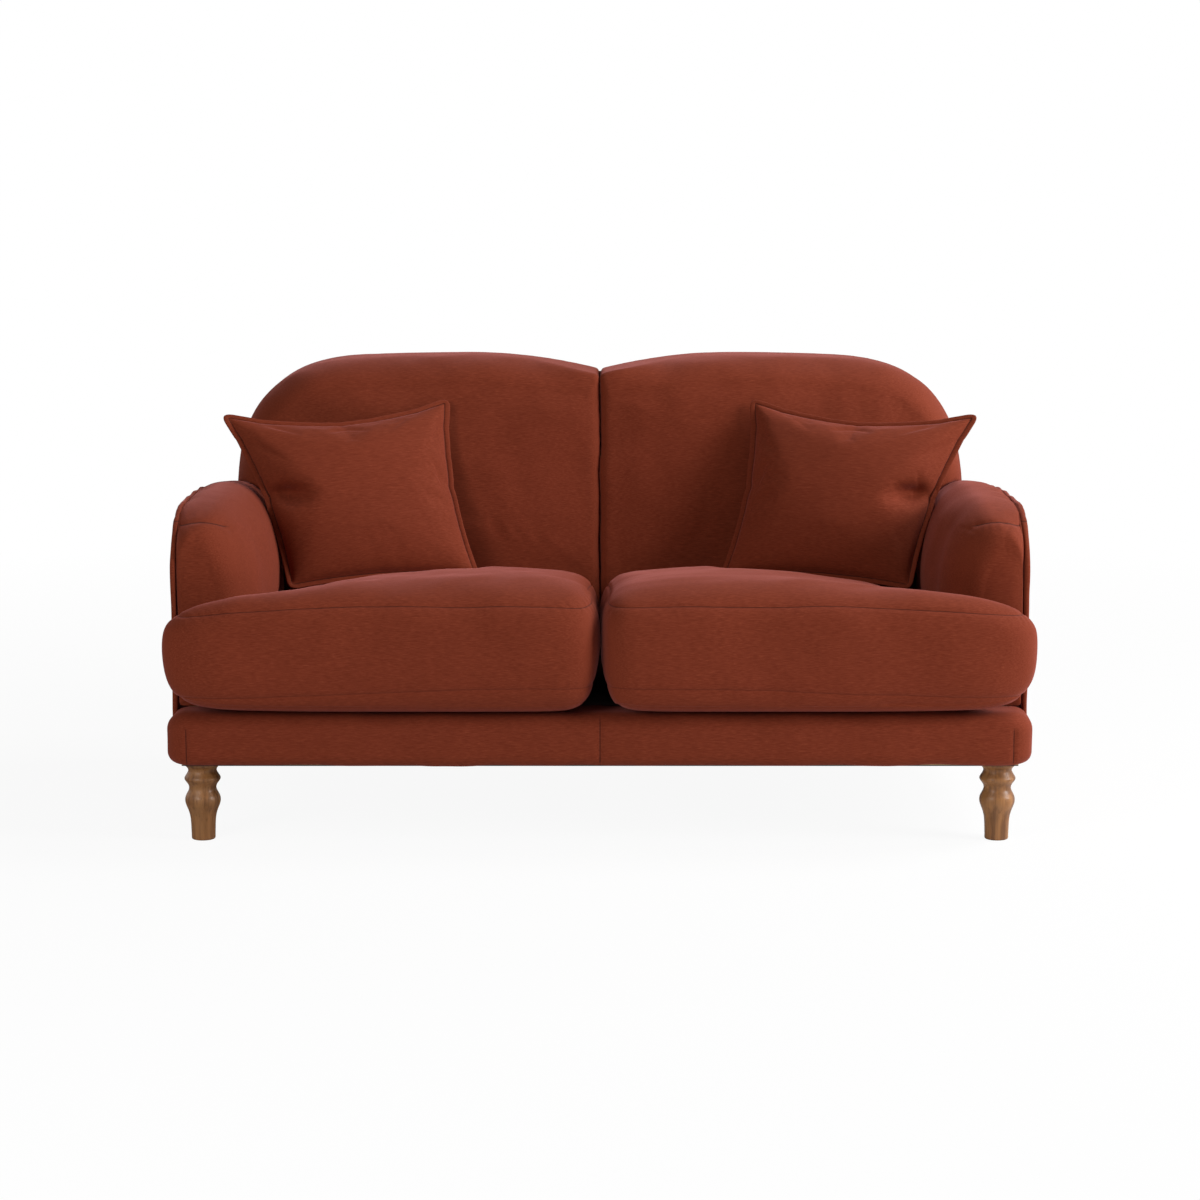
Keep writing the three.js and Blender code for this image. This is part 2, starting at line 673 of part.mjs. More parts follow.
function zipSlider() {
  const x0 = seatMiddle - ZIP_LONG / 2;
  const y0 = seatRear + FIT;
  const body = block(x0, x0 + SLIDER_LONG, y0, y0 + SLIDER_THICK,
    zipLevel - SLIDER_HIGH / 2, zipLevel + SLIDER_HIGH / 2);
  const pull = block(x0 + SLIDER_LONG / 3, x0 + SLIDER_LONG * 2 / 3, y0 + SLIDER_THICK - PULL_THICK,
    y0 + SLIDER_THICK, zipLevel - PULL_LONG, zipLevel);
  return toGeometry(toSolid(body).add(toSolid(pull)));
}

// Scatter cushions: a flanged pillow on a four-cornered patch
const [topOuter, topInner, lowInner, lowOuter] = [
  SCATTER_TOP_OUTER, SCATTER_TOP_INNER, SCATTER_LOW_INNER, SCATTER_LOW_OUTER,
].map((corner) => new THREE.Vector3(armInner, 0, 0).add(corner));

const patchNormal = new THREE.Vector3().crossVectors(
  topInner.clone().sub(lowOuter),
  topOuter.clone().sub(lowInner),
).normalize();

const patchHalf = lowInner.distanceTo(lowOuter) / 2;

function onPatch(s, t, lift) {
  const pulledS = s * (1 - EDGE_PULL_SHARE * (1 - t * t));
  const pulledT = t * (1 - EDGE_PULL_SHARE * (1 - s * s));
  const low = lowOuter.clone().lerp(lowInner, (pulledS + 1) / 2);
  const high = topOuter.clone().lerp(topInner, (pulledS + 1) / 2);
  return low.lerp(high, (pulledT + 1) / 2).addScaledVector(patchNormal, lift);
}

function pillow(lineShares, wall, spread) {
  const lines = [...lineShares.slice(1).map((share) => -share).reverse(), ...lineShares];
  const wider = 1 + spread / patchHalf;
  const count = lines.length;
  const rim = SCATTER_FLANGE_THICK / 2;
  const fullness = (s) => Math.max(1 - (s / FLANGE_SHARE) ** 2, 0);
  const lift = (s, t) => {
    const swell = (fullness(s) * fullness(t)) ** PILLOW_POWER_SHARE;
    return Math.max(rim + (SCATTER_THICK / 2 - rim) * swell - wall, rim / 2);
  };
  const points = [];
  for (const side of [1, -1]) {
    for (const t of lines) {
      for (const s of lines) {
        points.push(onPatch(s * wider, t * wider, side * lift(s, t)));
      }
    }
  }
  const triangles = [];
  const at = (side, row, column) => side * count * count + row * count + column;
  for (let r = 0; r + 1 < count; r += 1) {
    for (let c = 0; c + 1 < count; c += 1) {
      const [a, b, d, e] = [at(0, r, c), at(0, r, c + 1), at(0, r + 1, c + 1), at(0, r + 1, c)];
      triangles.push([a, b, d], [a, d, e]);
      const [f, g, h, i] = [at(1, r, c), at(1, r, c + 1), at(1, r + 1, c + 1), at(1, r + 1, c)];
      triangles.push([f, h, g], [f, i, h]);
    }
  }
  const last = count - 1;
  for (let k = 0; k < last; k += 1) {
    for (const [[r0, c0], [r1, c1]] of [
      [[0, k + 1], [0, k]], [[last, k], [last, k + 1]], [[k, 0], [k + 1, 0]], [[k + 1, last], [k, last]],
    ]) {
      triangles.push([at(0, r0, c0), at(0, r1, c1), at(1, r1, c1)], [at(0, r0, c0), at(1, r1, c1), at(1, r0, c0)]);
    }
  }
  return closedMesh(points, triangles);
}

function scatterZip(grow) {
  const reach = (SCATTER_ZIP_LONG / 2 + grow) / patchHalf;
  const thick = SCATTER_ZIP_THICK / 2 + grow;
  const low = grow > 0 ? -1 - ZIP_OVERLAP_SHARE : -1;
  const high = -PAD_LINE_SHARES.at(-1) + (grow > 0 ? ZIP_OVERLAP_SHARE : -ZIP_OVERLAP_SHARE / 4);
  const ring = (t) => [[-reach, thick], [reach, thick], [reach, -thick], [-reach, -thick]]
    .map(([s, lift]) => onPatch(s, t, lift));
  const rings = [ring(low), ring(high)];
  return loft(rings, middle(rings[0]), middle(rings[1]));
}

const seatRest = seatForm(0, 2).translate(0, 0, FIT);
const padRest = seatForm(0, 2).translate(0, 0, SCATTER_WALL);

function scatterCover() {
  const room = pillow(PAD_LINE_SHARES, SCATTER_WALL - FIT, 2 * FIT);
  return cut(pillow(SCATTER_LINE_SHARES, 0, 0), room, scatterZip(FIT), seatRest);
}

function scatterPad() {
  return cut(pillow(PAD_LINE_SHARES, SCATTER_WALL, 0), padRest);
}

// Assembly
const settee = new THREE.Group();
settee.name = 'high_back_settee';

function addPiece(parent, name, geometry, material) {
  geometry.computeVertexNormals();
  const mesh = new THREE.Mesh(geometry, material);
  mesh.name = name;
  parent.add(mesh);
}

function addMiddlePieces() {
  const straps = Array.from({ length: STRAPS_PER_HALF }, (_, k) => (k + 0.5) * strapPitch);
  const strapPlaces = [...straps.map((x) => -x).reverse(), ...straps];
  addPiece(settee, 'front_rail', crossRail(frameFront), materials.beech);
  addPiece(settee, 'rear_rail', crossRail(rearFoot - RAIL_THICK), materials.beech);
  addPiece(settee, 'center_bearer', centreBearer(), materials.beech);
  addPiece(settee, 'dust_cover', dustCover(), materials.dustCloth);
  addPiece(settee, 'front_border', frontBorder(), materials.fabric);
  strapPlaces.forEach((x, k) => {
    addPiece(settee, `seat_webbing_${k + 1}`, seatStrap(x), materials.webbing);
  });
  addPiece(settee, 'seat_deck', seatDeck(), materials.platformCloth);
  addPiece(settee, 'back_post_center', backPost(-POST_WIDE / 2), materials.beech);
  addPiece(settee, 'back_top_rail', backTopRail(), materials.beech);
  for (let k = 0; k < BACK_STRAPS; k += 1) {
    addPiece(settee, `back_webbing_${k + 1}`, backStrap(k), materials.webbing);
  }
  addPiece(settee, 'outside_back_panel', outsideBack(), materials.fabric);
}

const sidePieces = [
  ['front_leg', turnedLegWithHole(), materials.oak],
  ['rear_leg', cut(taperedLeg(), boltHole(boltRearY)), materials.oak],
  ['front_leg_bolt', legBolt(boltFrontY), materials.steel],
  ['rear_leg_bolt', legBolt(boltRearY), materials.steel],
  ['side_rail', sideRail(), materials.beech],
  ['front_corner_block', cornerBlock(blockFront, boltFrontY), materials.beech],
  ['rear_corner_block', cornerBlock(blockRear, boltRearY), materials.beech],
  ['arm_board', armBoard(), materials.plywood],
  ['arm_pad', armPad(), materials.fabric],
  ['outside_arm_panel', armPanel(), materials.fabric],
  ['back_post', backPost(postOuter - POST_WIDE), materials.beech],
  ['back_low_rail', backLowRail(), materials.beech],
  ['back_pad', backPad(), materials.fabric],
  ['seat_cover', seatCover(), materials.fabric],
  ['seat_core', seatForm(SEAT_WRAP, 1), materials.foam],
  ['seat_zip', zipChain(0), materials.zipTape],
  ['seat_zip_slider', zipSlider(), materials.steel],
  ['scatter_cover', scatterCover(), materials.fabric],
  ['scatter_pad', scatterPad(), materials.feather],
  ['scatter_zip', cut(scatterZip(0), seatRest), materials.zipTape],
];

function turnedLegWithHole() {
  return cut(turnedLeg(), boltHole(boltFrontY));
}

addMiddlePieces();
for (const [side, mirror] of [['left', -1], ['right', 1]]) {
  const half = new THREE.Group();
  half.scale.x = mirror;
  for (const [name, geometry, material] of sidePieces) {
    addPiece(half, `${name}_${side}`, geometry, material);
  }
  settee.add(half);
}

export default settee;
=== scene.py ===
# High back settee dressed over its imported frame.
# Metres, +Z up, the front faces -Y. Pieces of a pair are shaped on the right (+X) and mirrored.
import math

import bpy
import numpy as np
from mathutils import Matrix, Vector
from mathutils.bvhtree import BVHTree


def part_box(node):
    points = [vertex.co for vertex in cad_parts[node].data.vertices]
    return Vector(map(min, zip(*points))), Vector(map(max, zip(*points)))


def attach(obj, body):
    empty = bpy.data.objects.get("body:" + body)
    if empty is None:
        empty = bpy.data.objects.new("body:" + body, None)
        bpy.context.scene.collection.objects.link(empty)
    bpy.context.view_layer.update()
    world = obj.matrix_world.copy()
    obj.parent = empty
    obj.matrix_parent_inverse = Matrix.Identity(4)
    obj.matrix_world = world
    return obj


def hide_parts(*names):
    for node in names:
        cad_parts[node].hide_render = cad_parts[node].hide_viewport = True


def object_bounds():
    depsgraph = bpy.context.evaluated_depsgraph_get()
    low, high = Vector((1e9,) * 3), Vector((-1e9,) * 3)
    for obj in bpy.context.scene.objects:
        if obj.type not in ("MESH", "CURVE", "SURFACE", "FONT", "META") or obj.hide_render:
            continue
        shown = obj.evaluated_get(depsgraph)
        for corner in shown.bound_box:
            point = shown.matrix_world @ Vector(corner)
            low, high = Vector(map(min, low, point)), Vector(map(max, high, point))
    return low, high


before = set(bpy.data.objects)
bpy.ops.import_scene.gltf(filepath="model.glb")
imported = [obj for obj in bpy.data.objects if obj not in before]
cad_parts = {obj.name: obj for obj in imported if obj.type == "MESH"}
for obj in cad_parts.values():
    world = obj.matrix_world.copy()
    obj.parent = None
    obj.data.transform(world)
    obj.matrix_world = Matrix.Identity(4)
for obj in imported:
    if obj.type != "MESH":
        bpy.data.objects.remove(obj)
frame_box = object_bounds()
SIDES = {"left": -1, "right": 1}

# Camera, in the place from which the settee is seen
CAMERA_PLACE = (0.0, -6.0185, 1.292)
CAMERA_TILT = math.radians(8.5)
CAMERA_LENS = 92.97
CAMERA_SENSOR = 36.0


def place_camera():
    data = bpy.data.cameras.new("camera")
    data.sensor_width = CAMERA_SENSOR
    data.lens = CAMERA_LENS
    camera = bpy.data.objects.new("camera", data)
    camera.location = CAMERA_PLACE
    camera.rotation_euler = (math.pi / 2 - CAMERA_TILT, 0, 0)
    bpy.context.scene.collection.objects.link(camera)
    bpy.context.scene.camera = camera


place_camera()


# Mesh helpers

def new_piece(name, points, faces):
    mesh = bpy.data.meshes.new(name)
    mesh.from_pydata([tuple(point) for point in points], [], faces)
    mesh.update()
    piece = bpy.data.objects.new(name, mesh)
    bpy.context.scene.collection.objects.link(piece)
    return piece


def applied(piece):
    """The piece with its modifiers made part of its mesh."""
    graph = bpy.context.evaluated_depsgraph_get()
    piece.data = bpy.data.meshes.new_from_object(piece.evaluated_get(graph))
    piece.modifiers.clear()
    return piece


def shaped(piece, kind, **settings):
    """The piece with one modifier applied."""
    modifier = piece.modifiers.new(kind.lower(), kind)
    for key, value in settings.items():
        setattr(modifier, key, value)
    return applied(piece)


def remeshed(piece, voxel, smooth_turns):
    shaped(piece, "REMESH", mode="VOXEL", voxel_size=voxel, adaptivity=0.0)
    return shaped(piece, "SMOOTH", factor=0.5, iterations=smooth_turns)


def places(piece):
    spots = np.empty(len(piece.data.vertices) * 3)
    piece.data.vertices.foreach_get("co", spots)
    return spots.reshape(-1, 3)


def facings(piece):
    piece.data.update()
    turned = np.empty(len(piece.data.vertices) * 3)
    piece.data.vertex_normals.foreach_get("vector", turned)
    return turned.reshape(-1, 3)


def move_to(piece, spots):
    piece.data.vertices.foreach_set("co", np.ascontiguousarray(spots).ravel())
    piece.data.update()


def keep_values(piece, name, values):
    """Stores a number or a vector for each vertex, for the material to read."""
    kind, field = ("FLOAT_VECTOR", "vector") if values.ndim == 2 else ("FLOAT", "value")
    layer = piece.data.attributes.new(name, kind, "POINT")
    layer.data.foreach_set(field, np.ascontiguousarray(values).ravel())


def linked_copy(source, name):
    """A copy with a mesh of its own."""
    piece = bpy.data.objects.new(name, source.data.copy())
    bpy.context.scene.collection.objects.link(piece)
    return piece


def side_piece(base, name, side):
    """A copy of a piece that was shaped on the right, mirrored where it is for the left."""
    piece = linked_copy(base, f"{name}_{side}")
    if SIDES[side] < 0:
        spots = places(piece)
        spots[:, 0] *= -1
        move_to(piece, spots)
        piece.data.flip_normals()
    return piece


def removed(piece):
    bpy.data.objects.remove(piece, do_unlink=True)


def lofted(name, rings):
    """A closed mesh through rings of as many points each, with a fan at both ends."""
    count = len(rings[0])
    points = [point for ring in rings for point in ring]
    faces = []
    for row in range(len(rings) - 1):
        low = row * count
        for k in range(count):
            step = (k + 1) % count
            faces.append((low + k, low + step, low + count + step, low + count + k))
    for ring, first, turn in ((rings[0], 0, 1), (rings[-1], (len(rings) - 1) * count, -1)):
        hub = len(points)
        points.append(tuple(np.mean(np.array(ring), axis=0)))
        for k in range(count):
            ends = (first + (k + 1) % count, first + k)
            faces.append((hub, *ends) if turn > 0 else (hub, *reversed(ends)))
    piece = new_piece(name, points, faces)
    return outward(piece)


def outward(piece):
    """Turns the faces of a closed mesh out."""
    spots = places(piece)
    piece.data.calc_loop_triangles()
    volume = 0.0
    for triangle in piece.data.loop_triangles:
        a, b, c = (spots[v] for v in triangle.vertices)
        volume += np.dot(a, np.cross(b, c))
    if volume < 0:
        piece.data.flip_normals()
    return piece


BOX_FACES = ((0, 1, 3, 2), (4, 6, 7, 5), (0, 4, 5, 1), (2, 3, 7, 6), (0, 2, 6, 4), (1, 5, 7, 3))


def box_points(low, high):
    return [(x, y, z) for x in (low[0], high[0]) for y in (low[1], high[1]) for z in (low[2], high[2])]


def block(name, low, high):
    return outward(new_piece(name, box_points(low, high), BOX_FACES))


def carved(piece, cutter):
    """The piece with the cutter's space taken out of it. The cutter is used up."""
    shaped(piece, "BOOLEAN", operation="DIFFERENCE", object=cutter, solver="EXACT")
    removed(cutter)
    return piece


def quarter(steps):
    """Even angles over a quarter turn."""
    return [step / steps * math.pi / 2 for step in range(steps + 1)]


def along_stations(values, stations):
    """A height read off straight lines through (place, height) stations."""
    return np.interp(values, *zip(*stations))


def smooth_step(values, start, end):
    share = np.clip((values - start) / (end - start), 0, 1)
    return share * share * (3 - 2 * share)


def ripple(spots, length, seed, waves=14):
    """An even random swell of about that length, mostly between one below and one above."""
    draw = np.random.default_rng(seed)
    field = np.zeros(len(spots))
    for _ in range(waves):
        way = draw.normal(size=3)
        way /= np.linalg.norm(way)
        pitch = length * draw.uniform(0.7, 1.4)
        field += np.cos(spots @ way * (2 * math.pi / pitch) + draw.uniform(0, 2 * math.pi))
    return field / math.sqrt(waves / 2)


def bell(gap, reach):
    """One at the gap's zero, falling off over the reach."""
    return np.exp(-(gap / reach) ** 2)


def drawn_rings(ring, shares, hub=None, through=None):
    """Rings that close in on a ring's middle, or on the hub, by shares of its size.

    Where through is given, it says how far through each point then lies.
    """
    points = np.array(ring)
    hub = points.mean(0) if hub is None else np.array(hub)
    rings = []
    for share in shares:
        drawn = hub + (points - hub) * share
        if through:
            drawn[:, 1] = through(drawn, share)
        rings.append([tuple(point) for point in drawn])
    return rings


def cage(name, counts, filled, place):
    """The outer faces of a block of cells."""
    numbers = {}
    points = []
    faces = []

    def vertex(corner):
        if corner not in numbers:
            numbers[corner] = len(points)
            points.append(place(*corner))
        return numbers[corner]

    def inside(i, j, k):
        return 0 <= i < counts[0] and 0 <= j < counts[1] and 0 <= k < counts[2] and filled(i, j, k)

    sides = (
        ((-1, 0, 0), ((0, 0, 0), (0, 0, 1), (0, 1, 1), (0, 1, 0))),
        ((1, 0, 0), ((1, 0, 0), (1, 1, 0), (1, 1, 1), (1, 0, 1))),
        ((0, -1, 0), ((0, 0, 0), (1, 0, 0), (1, 0, 1), (0, 0, 1))),
        ((0, 1, 0), ((0, 1, 0), (0, 1, 1), (1, 1, 1), (1, 1, 0))),
        ((0, 0, -1), ((0, 0, 0), (0, 1, 0), (1, 1, 0), (1, 0, 0))),
        ((0, 0, 1), ((0, 0, 1), (1, 0, 1), (1, 1, 1), (0, 1, 1))),
    )
    for i in range(counts[0]):
        for j in range(counts[1]):
            for k in range(counts[2]):
                if inside(i, j, k):
                    for way, corners in sides:
                        if not inside(i + way[0], j + way[1], k + way[2]):
                            faces.append([vertex((i + a, j + b, k + c)) for a, b, c in corners])
    return new_piece(name, points, faces)


# Shader helpers

class Value:
    """A socket that takes part in sums."""

    def __init__(self, paint, socket):
        self.paint = paint
        self.socket = socket

    def __add__(self, other):
        return self.paint.math("ADD", self, other)

    def __sub__(self, other):
        return self.paint.math("SUBTRACT", self, other)

    def __rsub__(self, other):
        return self.paint.math("SUBTRACT", other, self)

    def __mul__(self, other):
        return self.paint.math("MULTIPLY", self, other)

    def __abs__(self):
        return self.paint.math("ABSOLUTE", self)

    __radd__ = __add__
    __rmul__ = __mul__


class Paint:
    """The nodes of a material or of the world."""

    def __init__(self, owner):
        owner.use_nodes = True
        self.tree = owner.node_tree
        self.tree.nodes.clear()

    def node(self, kind, settings=None, sockets=None):
        """A node of a type: its settings come first, then the values and links of its sockets."""
        node = self.tree.nodes.new("ShaderNode" + kind)
        for key, value in (settings or {}).items():
            setattr(node, key, value)
        for key, value in (sockets or {}).items():
            socket = node.inputs[key]
            if isinstance(value, Value):
                self.tree.links.new(value.socket, socket)
            else:
                socket.default_value = value
        return node

    def value(self, kind, settings=None, sockets=None, output=0):
        return Value(self, self.node(kind, settings, sockets).outputs[output])

    def math(self, operation, *values):
        return self.value("Math", {"operation": operation}, dict(enumerate(values)))

    def kept(self, name, output="Fac"):
        """What keep_values stored on the piece."""
        return self.value("Attribute", {"attribute_name": name}, {}, output)

    def spot(self):
        return self.value("TexCoord", {}, {}, "Object")

    def ray(self, kind):
        return self.value("LightPath", {}, {}, f"Is {kind} Ray")

    def noise(self, spot, scale, detail=2.0, stretch=None):
        if stretch:
            spot = self.value("VectorMath", {"operation": "MULTIPLY"}, {0: spot, 1: stretch})
        return self.value("TexNoise", {}, {"Vector": spot, "Scale": scale, "Detail": detail})

    def ranged(self, value, start, end, low=0.0, high=1.0, curve="SMOOTHSTEP"):
        """The value carried from one range to another, and held at both ends."""
        sockets = {0: value, 1: start, 2: end, 3: low, 4: high}
        return self.value("MapRange", {"interpolation_type": curve}, sockets)

    def mixed(self, factor, first, second):
        """A colour between two colours."""
        return self.value("Mix", {"data_type": "RGBA"}, {0: factor, 6: first, 7: second}, 2)

    def closed(self, output, factor, first, second):
        """Closes the tree with a mix of two shaders."""
        mix = self.value("MixShader", {}, {0: factor, 1: first, 2: second})
        self.node(output, {}, {0: mix})


class Finish(Paint):
    """A material with one shader, whose fixed sockets are given by name."""

    def __init__(self, name, **fixed):
        self.material = bpy.data.materials.new(name)
        super().__init__(self.material)
        sockets = {key.replace("_", " "): value for key, value in fixed.items()}
        self.shader = self.node("BsdfPrincipled", {}, sockets)
        self.node("OutputMaterial", {}, {0: Value(self, self.shader.outputs[0])})

    def set(self, **sockets):
        for key, value in sockets.items():
            self.tree.links.new(value.socket, self.shader.inputs[key.replace("_", " ")])

    def bumped(self, height, distance, strength):
        """The material, with its relief."""
        sockets = {"Height": height, "Distance": distance, "Strength": strength}
        self.set(Normal=self.value("Bump", {}, sockets))
        return self.material


def rgb(*parts):
    """A colour written in screen values from 0 to 255, with the screen's own curve taken out."""
    shares = [part / 255 for part in parts]
    linear = [share / 12.92 if share <= 0.04045 else ((share + 0.055) / 1.055) ** 2.4 for share in shares]
    return (*linear, 1.0)


# Materials: noise scales are in waves a metre, and colours are those of the photograph

WEFT_RUN = 80
WEFT_FINE = 820
THREAD = 1500
RUST_DARK = rgb(110, 43, 22)
RUST_MIDDLE = rgb(123, 50, 27)
RUST_BRIGHT = rgb(141, 62, 35)
RUST_THREAD = rgb(156, 74, 42)
RUST_BLOOM = rgb(226, 142, 140)
# Painted shade: the colour of the dark line along every seam, standing in for the shadow in its groove
SEAM_PAINTED_SHADE = rgb(46, 15, 8)
SEAM_HALF_WIDE = 0.0016
SEAM_BUMP_WIDE = 0.0025


def rust_cloth():
    """A slubbed plain weave with a mauve bloom where it turns away, and painted shade along its seams."""
    paint = Finish("rust_cloth", Sheen_Weight=0.35, Sheen_Roughness=0.36, Sheen_Tint=RUST_BLOOM,
                   Specular_IOR_Level=0.2)
    cloth = paint.kept("cloth", "Vector")
    side = paint.kept("side")
    seam = abs(paint.kept("seam"))
    seam_groove_and_shade = paint.kept("seam_groove_and_shade")
    front_slub = paint.noise(cloth, 1.0, 2.0, (WEFT_RUN, WEFT_FINE, WEFT_FINE))
    side_slub = paint.noise(cloth, 1.0, 2.0, (WEFT_FINE, WEFT_RUN, WEFT_FINE))
    slub = front_slub * (1 - side) + side_slub * side
    warp = paint.noise(cloth, 1.0, 1.0, (WEFT_FINE, WEFT_FINE, WEFT_RUN * 2))
    thread = paint.noise(cloth, THREAD, 1.0)
    patch = paint.noise(cloth, 7.0, 3.0)
    colour = paint.mixed(paint.ranged(slub, 0.3, 0.6), RUST_DARK, RUST_MIDDLE)
    colour = paint.mixed(paint.ranged(slub, 0.58, 0.76, 0.0, 0.65), colour, RUST_BRIGHT)
    colour = paint.mixed(paint.ranged(warp, 0.6, 0.75, 0.0, 0.22), colour, RUST_DARK)
    colour = paint.mixed(paint.ranged(thread, 0.6, 0.8, 0.0, 0.3), colour, RUST_THREAD)
    colour = paint.mixed(paint.ranged(patch, 0.35, 0.7, 0.0, 0.14), colour, RUST_DARK)
    # Painted shade: the cloth darkens within a couple of millimetres of a seam, as much as the seam shows
    # there
    shade = paint.ranged(seam, 0.0003, SEAM_HALF_WIDE, 0.8, 0.0) * seam_groove_and_shade
    paint.set(Base_Color=paint.mixed(shade, colour, SEAM_PAINTED_SHADE),
              Roughness=paint.ranged(slub, 0.3, 0.7, 0.95, 0.82))
    groove = paint.ranged(seam, 0.0, SEAM_BUMP_WIDE, -1.6, 0.0) * seam_groove_and_shade
    return paint.bumped(slub * 0.8 + warp * 0.3 + thread * 0.35 + groove, 0.0004, 0.45)


def plain_cloth(name, colour, fleck, scale):
    """A woven or spun cloth."""
    paint = Finish(name, Sheen_Weight=0.2, Specular_IOR_Level=0.25)
    spot = paint.spot()
    fibre = paint.noise(spot, scale, 3.0)
    cross = paint.noise(spot, scale, 2.0, (3.0, 0.4, 1.0))
    paint.set(Base_Color=paint.mixed(paint.ranged(fibre, 0.35, 0.65), colour, fleck),
              Roughness=paint.ranged(cross, 0.2, 0.8, 0.92, 0.8))
    return paint.bumped(fibre + cross * 0.5, 0.0006, 0.6)


def webbing():
    paint = Finish("woven_webbing", Specular_IOR_Level=0.3)
    spot = paint.spot()
    rib_sockets = {"Vector": spot, "Scale": 260.0, "Distortion": 1.5, "Detail": 2.0}
    ribs = paint.value("TexWave", {"bands_direction": "DIAGONAL"}, rib_sockets, "Fac")
    grain = paint.noise(spot, 900.0, 2.0)
    shade = paint.mixed(ribs, rgb(52, 46, 40), rgb(88, 78, 64))
    paint.set(Base_Color=paint.mixed(paint.ranged(grain, 0.5, 0.8, 0.0, 0.5), shade, rgb(30, 27, 24)),
              Roughness=paint.ranged(grain, 0.2, 0.8, 0.8, 0.95))
    return paint.bumped(ribs + grain * 0.5, 0.0008, 0.7)


def timber(name, dark, middle, light, run, rough):
    """Wood whose grain runs where its stretch is least."""
    paint = Finish(name, Specular_IOR_Level=0.4)
    spot = paint.spot()
    bend = paint.noise(spot, 1.0, 2.0, tuple(0.3 * part for part in run))
    grain = paint.noise(spot, 1.0, 4.0, run)
    pores = paint.noise(spot, 1.0, 2.0, tuple(3.2 * part for part in run))
    colour = paint.mixed(paint.ranged(grain + bend * 0.4, 0.5, 0.9), dark, middle)
    colour = paint.mixed(paint.ranged(bend, 0.35, 0.7, 0.0, 0.6), colour, light)
    colour = paint.mixed(paint.ranged(pores, 0.58, 0.7, 0.0, 0.55), colour, dark)
    paint.set(Base_Color=colour, Roughness=paint.ranged(pores, 0.3, 0.7, rough - 0.08, rough + 0.1))
    return paint.bumped(grain * 0.6 - pores * 0.5, 0.0004, 0.5)


def beech(name, axis):
    """Beech whose grain runs along an axis."""
    run = tuple(7.0 if k == axis else 120.0 for k in range(3))
    return timber(name, rgb(176, 134, 86), rgb(205, 165, 115), rgb(222, 188, 142), run, 0.6)


def metal(name, colour, scale):
    """A plated metal with fine brush marks and dull patches."""
    paint = Finish(name, Metallic=0.95, Specular_IOR_Level=0.5)
    spot = paint.spot()
    brushed = paint.noise(spot, scale, 3.0, (1.0, 1.0, 0.1))
    dull = paint.noise(spot, scale / 12, 2.0)
    paint.set(Base_Color=paint.mixed(paint.ranged(dull, 0.4, 0.7, 0.0, 0.5), colour, rgb(112, 110, 106)),
              Roughness=paint.ranged(brushed, 0.2, 0.8, 0.26, 0.5))
    return paint.bumped(brushed, 0.0001, 0.4)


rust = rust_cloth()
oak = timber("waxed_oak", rgb(102, 62, 29), rgb(146, 96, 51), rgb(172, 122, 74), (150.0, 150.0, 9.0), 0.4)
beech_x = beech("beech_rail", 0)
beech_y = beech("beech_side", 1)
beech_z = beech("beech_post", 2)
ply = timber("birch_ply", rgb(150, 112, 68), rgb(190, 152, 104), rgb(210, 178, 132), (60.0, 6.0, 400.0), 0.65)
strap_weave = webbing()
platform_cloth = plain_cloth("platform_cloth", rgb(70, 36, 27), rgb(92, 50, 38), 520.0)
dust_cloth = plain_cloth("dust_cloth", rgb(22, 21, 20), rgb(40, 39, 37), 900.0)
zip_weave = plain_cloth("zip_tape", rgb(74, 33, 24), rgb(98, 46, 33), 900.0)
zinc = metal("zinc_plate", rgb(170, 170, 168), 500.0)
bronze = metal("zip_metal", rgb(128, 104, 76), 700.0)


# Dressing

def dressed(piece, material, body, replaced=()):
    """Gives a piece its material and its body, and hides the solids that it stands for."""
    piece.data.materials.clear()
    piece.data.materials.append(material)
    piece.data.polygons.foreach_set("use_smooth", [True] * len(piece.data.polygons))
    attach(piece, body)
    if replaced:
        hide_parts(*replaced)
    return piece


# The widest gap that is kept, and the facings between which front cloth turns to side cloth
SEAM_READ = 0.05
SIDEWAYS = (0.6, 0.8)


def cloth_values(piece, seam, seam_groove_and_shade=None, flat=None):
    """Keeps what the weave reads: its coordinates, how far it faces sideways, and the gap to a seam.

    The gap has a different sign on each side of the seam, and seam_groove_and_shade is how plainly the seam
    shows there: the depth of its bump groove and of the painted shade along it.
    A cloth with coordinates of its own, in flat, has its weft along them and never turns sideways.
    """
    if flat is None:
        sideways = smooth_step(np.abs(facings(piece)[:, 0]), *SIDEWAYS)
        flat = places(piece)
    else:
        sideways = np.zeros(len(seam))
    keep_values(piece, "cloth", flat)
    keep_values(piece, "side", sideways)
    keep_values(piece, "seam", np.clip(seam, -SEAM_READ, SEAM_READ))
    keep_values(piece, "seam_groove_and_shade", np.ones(len(seam)) if seam_groove_and_shade is None else np.clip(seam_groove_and_shade, 0, 1))


# The section of a sewn seam
STITCH_REACH = 0.0042
DRAW_REACH = 0.02
PUCKER_AT = 0.008
PUCKER_REACH = 0.012
PUCKER_WANDER = 1.8
WANDER_LENGTH = 0.09
PATCH_LENGTH = 0.12


def sewn(piece, seam, run, seed, deep, pucker, pitch, broad, where=1.0):
    """Draws the cloth in along a seam: a deep stitch line in a broad hollow, with small puckers beside it."""
    spots = places(piece)
    out = facings(piece)
    draw = np.random.default_rng(seed)
    wander = ripple(spots, WANDER_LENGTH, seed + 1)
    seam = np.abs(seam)
    rows = np.cos(run * 2 * math.pi / pitch + wander * PUCKER_WANDER + draw.uniform(0, 2 * math.pi))
    depth = -deep * bell(seam, STITCH_REACH) - broad * bell(seam, DRAW_REACH)
    patches = 0.5 + 0.5 * np.clip(ripple(spots, PATCH_LENGTH, seed + 2), -1, 1)
    depth += pucker * rows * bell(seam - PUCKER_AT, PUCKER_REACH) * patches
    move_to(piece, spots + out * (depth * where)[:, None])


# The finer swells are this many times shorter, and lower by this share
FINE_SWELL_TIMES = 2.6
FINE_SWELL_SHARE = 0.3


